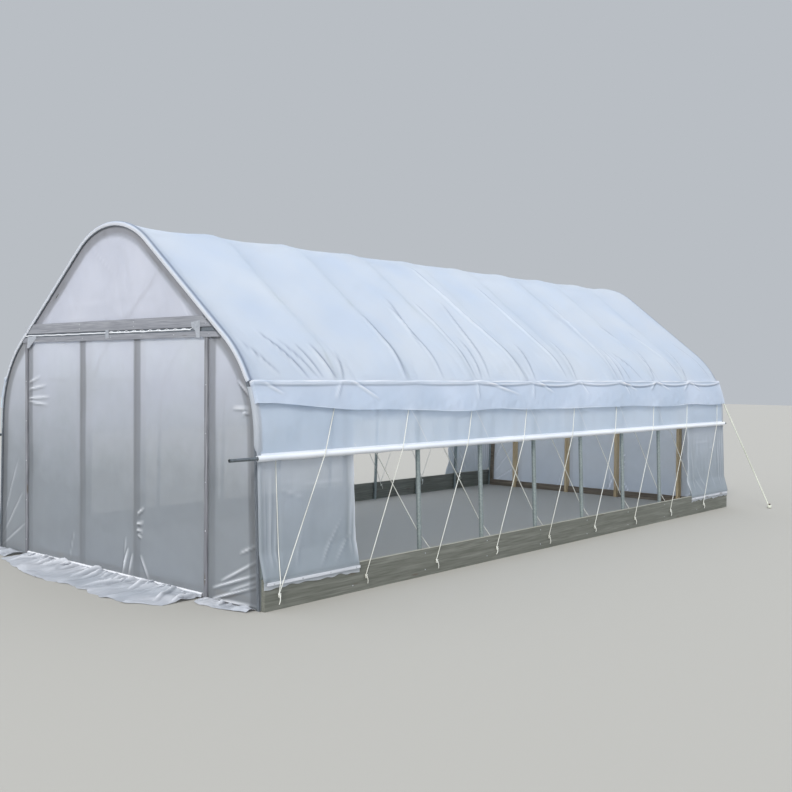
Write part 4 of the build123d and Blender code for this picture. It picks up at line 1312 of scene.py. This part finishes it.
turn = np.linspace(0, 3 * 2 * math.pi, 46)
stake = stay_foot + (STAKE_WRAP, 0, 0)
wound = stake + np.stack([
    -STAKE_WRAP * np.cos(turn), STAKE_WRAP * np.sin(turn), -11 * MM - 5 * MM * turn / math.pi], -1)
loose_end = [wound[-1], (stake[0] - 12 * MM, stake[1] + 60 * MM, 12 * MM),
             (stake[0] - 60 * MM, stake[1] + 110 * MM, 9 * MM)]
turn = np.linspace(0, 1.6 * 2 * math.pi, 26)
top_knot = stay_top + MM * np.stack([15 * np.cos(turn), 4 * np.sin(2 * turn), 15 * np.sin(turn)], -1)
stay = ([stay_top, stay_foot], wound, loose_end, top_knot)
both_stays = [flipped(line, left) for _, left in SIDES for line in stay]
stay_ropes = grown("stay_ropes", lines_mesh("stay_ropes", both_stays), ROPE, radius=STAY_RADIUS * 1.1,
                   lay=110 * MM, step=14 * MM, bend_radius=6 * MM, material=stay_cord)

# %% [markdown]
# ## Small fixings
# Screws hold the battens, the header and the boards, and a bent wire locks the film in its channel.
# Screws are one head put on points by Geometry Nodes, each turned by chance. The wire is a zigzag line
# sent through the pipe tree. Both are drawn a little large, so that they read at this distance.

# %% Screw heads
HEAD_RADIUS = 5.5 * MM
HEAD_DEPTH = 6 * MM           # half of it is in the wood


def screw_tree():
    tree, given = new_tree("heads_on_points", facing="Rotation", seed="Int", material="Material")
    washer, head = [
        add(tree, "GeometryNodeMeshCylinder", {"Vertices": corners, "Radius": radius, "Depth": depth})
        for corners, radius, depth in ((12, HEAD_RADIUS, 1.6 * MM), (6, HEAD_RADIUS * 0.62, HEAD_DEPTH))]
    both = add(tree, "GeometryNodeJoinGeometry", (washer,))
    tree.links.new(head.outputs["Mesh"], both.inputs["Geometry"])
    largest = 3                # the socket's place, because several are named Max
    spin = add(tree, "FunctionNodeRandomValue", {"Seed": given["seed"], largest: math.pi})
    own = add(tree, "FunctionNodeAxisAngleToRotation", {"Axis": (0, 0, 1), "Angle": spin})
    turned = add(tree, "FunctionNodeRotateRotation", (given["facing"], own), rotation_space="LOCAL")
    placed = add(tree, "GeometryNodeInstanceOnPoints", {
        "Points": given["mesh"], "Instance": both, "Rotation": turned})
    close_tree(tree, placed, given["material"])
    return tree


SCREWS = screw_tree()
header_y, batten_y = TRIM_FACE - 19 * MM, TRIM_FACE - 14 * MM
HEADER_ROWS = (2.146, 2.185)
LOWER_RAIL_ROW = 2.0625
LATH_SCREWS = (0.06, 0.35, 0.65, 0.94, LENGTH - 1.0, LENGTH - 0.6, LENGTH - 0.1)
outer_posts = STUD_PLACES[0], STUD_PLACES[-1]
inner_bows = BOW_SPACING * np.arange(1, BOW_COUNT - 1)
end_points = [(x, header_y, z) for x in STUD_PLACES for z in HEADER_ROWS]
end_points += [(x + 0.02, header_y, LOWER_RAIL_ROW) for x in np.arange(-1.35, 1.4, 0.45)]
end_points += [(x, batten_y, z) for x in outer_posts for z in np.arange(0.15, 2.0, 0.38)]
end_points += [(x, batten_y, 24 * MM) for x in np.arange(-1.35, 1.3, 0.30)]
side_points = [(BOARD_OUT, y, z) for y in inner_bows for z in (55 * MM, 200 * MM)]
side_points += [(BATTEN_OUT, y, 202 * MM) for y in LATH_SCREWS]

QUARTER = math.pi / 2
screw_sets = []
for name, points, facing in (
        ("front_screws", end_points, (QUARTER, 0, 0)),
        ("rear_screws", flipped(end_points, rear=True), (-QUARTER, 0, 0)),
        ("right_screws", side_points, (0, QUARTER, 0)),
        ("left_screws", flipped(side_points, left=True), (0, -QUARTER, 0))):
    screw_sets.append(grown(
        name, bare_mesh(name, points), SCREWS, facing=Euler(facing), seed=3, material=bright_plate))

# %% Wire in the lock channels
WIRE_RADIUS = 1.8 * MM
WIRE_WAVE = 75 * MM
WIRE_FACE = TRIM_FACE - 10 * MM - WIRE_RADIUS
BEAD_RADIUS = 5 * MM


def zigzag(length, swing_size):
    """Distance along and swing aside for each corner of a bent wire."""
    corners = int(length / WIRE_WAVE * 4)
    swing = swing_size * np.array([0, 1, 1, 0, -1, -1])[np.arange(corners) % 6]
    return np.linspace(0, length, corners), swing


def arch_wire():
    along, swing = zigzag(2 * HALF_RUN - 0.12, 4.5 * MM)
    x, z = arch(along - HALF_RUN + 0.06, swing)
    return np.stack([x, np.full(len(x), WIRE_FACE), z], -1)


def header_wire():
    along, swing = zigzag(1.24, 7 * MM)
    out = np.full(len(along), WIRE_FACE - 2 * MM)
    return np.stack([along - 0.01, out, CHANNEL_HEIGHT + 4 * MM + swing], -1)


def header_bead():
    """The film's doubled edge, pinched in the channel of the header."""
    x = np.arange(-1.44, 1.16, 25 * MM)
    y = WIRE_FACE + 1.2 * MM * hills(x, 0 * x, 0.12, 111)
    z = CHANNEL_HEIGHT - 1 * MM + 1.6 * MM * hills(x, 0 * x, 0.16, 112)
    return np.stack([x, y, z], -1)


arch_wires, header_wires, header_beads = [], [], []
for end, rear in ENDS:
    for kind, line, radius, material, made in (
            ("arch_wire", arch_wire(), WIRE_RADIUS, dull_channel, arch_wires),
            ("header_wire", header_wire(), WIRE_RADIUS * 1.3, white_wire, header_wires),
            ("header_bead", header_bead(), BEAD_RADIUS, white_wire, header_beads)):
        name = f"{end}_{kind}"
        base = lines_mesh(name, [flipped(line, rear=rear)])
        made.append(grown(name, base, PIPE, radius=radius, sides=8, material=material))

# %% [markdown]
# ## Plates on the header
# The header is pieced from two boards. A folded zinc plate covers the joint, and one more holds each end.
# Each plate is an outline with a rounded lip, so it is cut as a small shape and given thickness and a
# bevel.

# %% Header plates
PLATE_THICKNESS = 2.5 * MM
PLATE_EDGE = 0.9 * MM
# Outlines as (across, height)
PLATES = (
    ((-0.060, 2.052), (-0.008, 2.052), (-0.008, 2.126), (-0.060, 2.126)),
    ((1.150, 2.128), (1.205, 2.088), (1.215, 2.036), (1.262, 2.036), (1.262, 2.172), (1.150, 2.160)),
    ((-1.405, 1.985), (-1.370, 1.985), (-1.235, 2.075), (-1.235, 2.100), (-1.390, 2.092)),
)

plate_points, plate_faces = [], []
for outline in PLATES:
    first = len(plate_points)
    plate_points += [(x, header_y - 1 * MM, z) for x, z in outline]
    plate_faces.append(list(range(first, len(plate_points))))
plates = []
for end, rear in ENDS:
    name = f"{end}_header_plates"
    flat = bare_mesh(name + "_flat", flipped(plate_points, rear=rear), faces=plate_faces)
    plates.append(thickened(name, flat, bright_plate, PLATE_THICKNESS, PLATE_EDGE))

# %% [markdown]
# ## Finish of the CAD pieces
# Boards, rails, channels and pipes keep the shape they have in the frame. Each gets the material of what
# it is, with its grain along the board.

# %% Materials on the frame
frame_finish = {
    "ridge_pipe": zinc, "roll_pipes": dull_pipe, "stakes": rusty_steel, "hip_rails": hip_wood,
    "side_boards_left": side_board_wood, "side_boards_right": side_board_wood,
    "corner_battens": white_batten_wood,
}
for end, rear in ENDS:
    frame_finish |= {
        f"{end}_header": header_wood, f"{end}_rails": plate_wood,
        # The front studs and nailer get dark grey wood, as painted shade
        f"{end}_studs": stud_wood if rear else shaded_stud_wood,
        f"{end}_nailer": plate_wood if rear else shaded_nailer_wood,
        f"{end}_wall_battens": post_batten_wood, f"{end}_film_channels": dull_channel,
    }
for node, material in frame_finish.items():
    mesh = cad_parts[node].data
    mesh.materials.clear()
    mesh.materials.append(material)
print("CAD pieces finished:", len(frame_finish))

# %% [markdown]
# ## What stands for what
# Every new piece rides on the one body of the tunnel, and the CAD pieces that it stands for are hidden.

# %% Riding and replacing
BODY = "root"


def place(piece, slot, *nodes):
    """Put a piece on the body, in the place of these nodes if any. `slot` is not used."""
    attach(piece, BODY)
    if nodes:
        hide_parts(*nodes)


place(roof_sheet, "roof_film", "roof_film")
for side, _ in SIDES:
    place(flaps[side], "side_film", f"hip_flap_{side}")
    place(curtains[side], "side_film", f"curtain_{side}")
for side, panel in corner_panels:
    place(panel, "side_film", f"corner_films_{side}")
for end, _ in ENDS:
    wall, end_gable = walls[f"{end}_wall_sheet"], walls[f"{end}_gable_sheet"]
    place(wall, "wall_film", f"{end}_wall_film")
    place(end_gable, "wall_film", f"{end}_gable_film")
for end, name, trace, skirt in skirts:
    replaced = [] if name == "far" else [f"{end}_skirt"]
    place(skirt, "wall_film", *replaced)
for number, tube in enumerate(bow_tubes, 1):
    place(tube, "galvanised_pipe", f"bow_{number}")
for side, _ in SIDES:
    place(lacing_cords[side], "rope", f"lacing_{side}")
    place(lacing_knots[side], "rope")
place(stay_ropes, "stay_rope", "stays")
for piece in screw_sets + plates + arch_wires + header_wires:
    place(piece, "film_channel")
for bead in header_beads:
    place(bead, "wall_film")

# %% [markdown]
# ## Floor and light
# The tunnel stands on a plain pale floor under an even sky: a world that is brighter overhead, and one
# large soft sun from the front right. The roof faces the sky and comes out brightest, and the end wall
# stays greyer.

# %% Floor
FAR = 60                      # metres out to the floor's edges
floor_mesh = bare_mesh(
    "floor", [(-FAR, -FAR, 0), (FAR, -FAR, 0), (FAR, FAR, 0), (-FAR, FAR, 0)], faces=[(0, 1, 2, 3)])
floor = link(bpy.data.objects.new("floor", floor_mesh))
floor_material, floor_tree, _ = blank("pale_floor")
floor_face = add(floor_tree, "ShaderNodeBsdfPrincipled", {
    "Base Color": linear("#A9A69E"), "Roughness": 0.9})
add(floor_tree, "ShaderNodeOutputMaterial", {"Surface": floor_face})
floor_mesh.materials.append(floor_material)
print("floor:", 2 * FAR, "m wide")

# %% Light
world = bpy.data.worlds.new("even_sky")
bpy.context.scene.world = world
world.use_nodes = True
sky_tree = world.node_tree
sky_tree.nodes.clear()
heading = add(sky_tree, "ShaderNodeTexCoord").outputs["Generated"]
up = add(sky_tree, "ShaderNodeSeparateXYZ", (heading,)).outputs["Z"]
strength = add(sky_tree, "ShaderNodeMapRange", (up, 0.0, 0.9, 0.88, 1.32))
sky = add(sky_tree, "ShaderNodeBackground", {"Color": linear("#EAF1FC"), "Strength": strength})
seen = add(sky_tree, "ShaderNodeBackground", {"Color": linear("#B9BEC4"), "Strength": 1.0})
camera_ray = add(sky_tree, "ShaderNodeLightPath").outputs["Is Camera Ray"]
shown = add(sky_tree, "ShaderNodeMixShader", (camera_ray, sky, seen))
add(sky_tree, "ShaderNodeOutputWorld", {"Surface": shown})

SUN_FROM = Vector((0.42, -0.95, 0.80))
sun = link(bpy.data.objects.new("soft_sun", bpy.data.lights.new("soft_sun", "SUN")))
sun.data.energy = 1.9
sun.data.angle = math.radians(16)
sun.data.color = linear("#FFFBF4")[:3]
sun.rotation_mode = "QUATERNION"
sun.rotation_quaternion = SUN_FROM.to_track_quat("Z", "Y")

bpy.context.scene.view_settings.view_transform = "Standard"
print("sky and sun set")
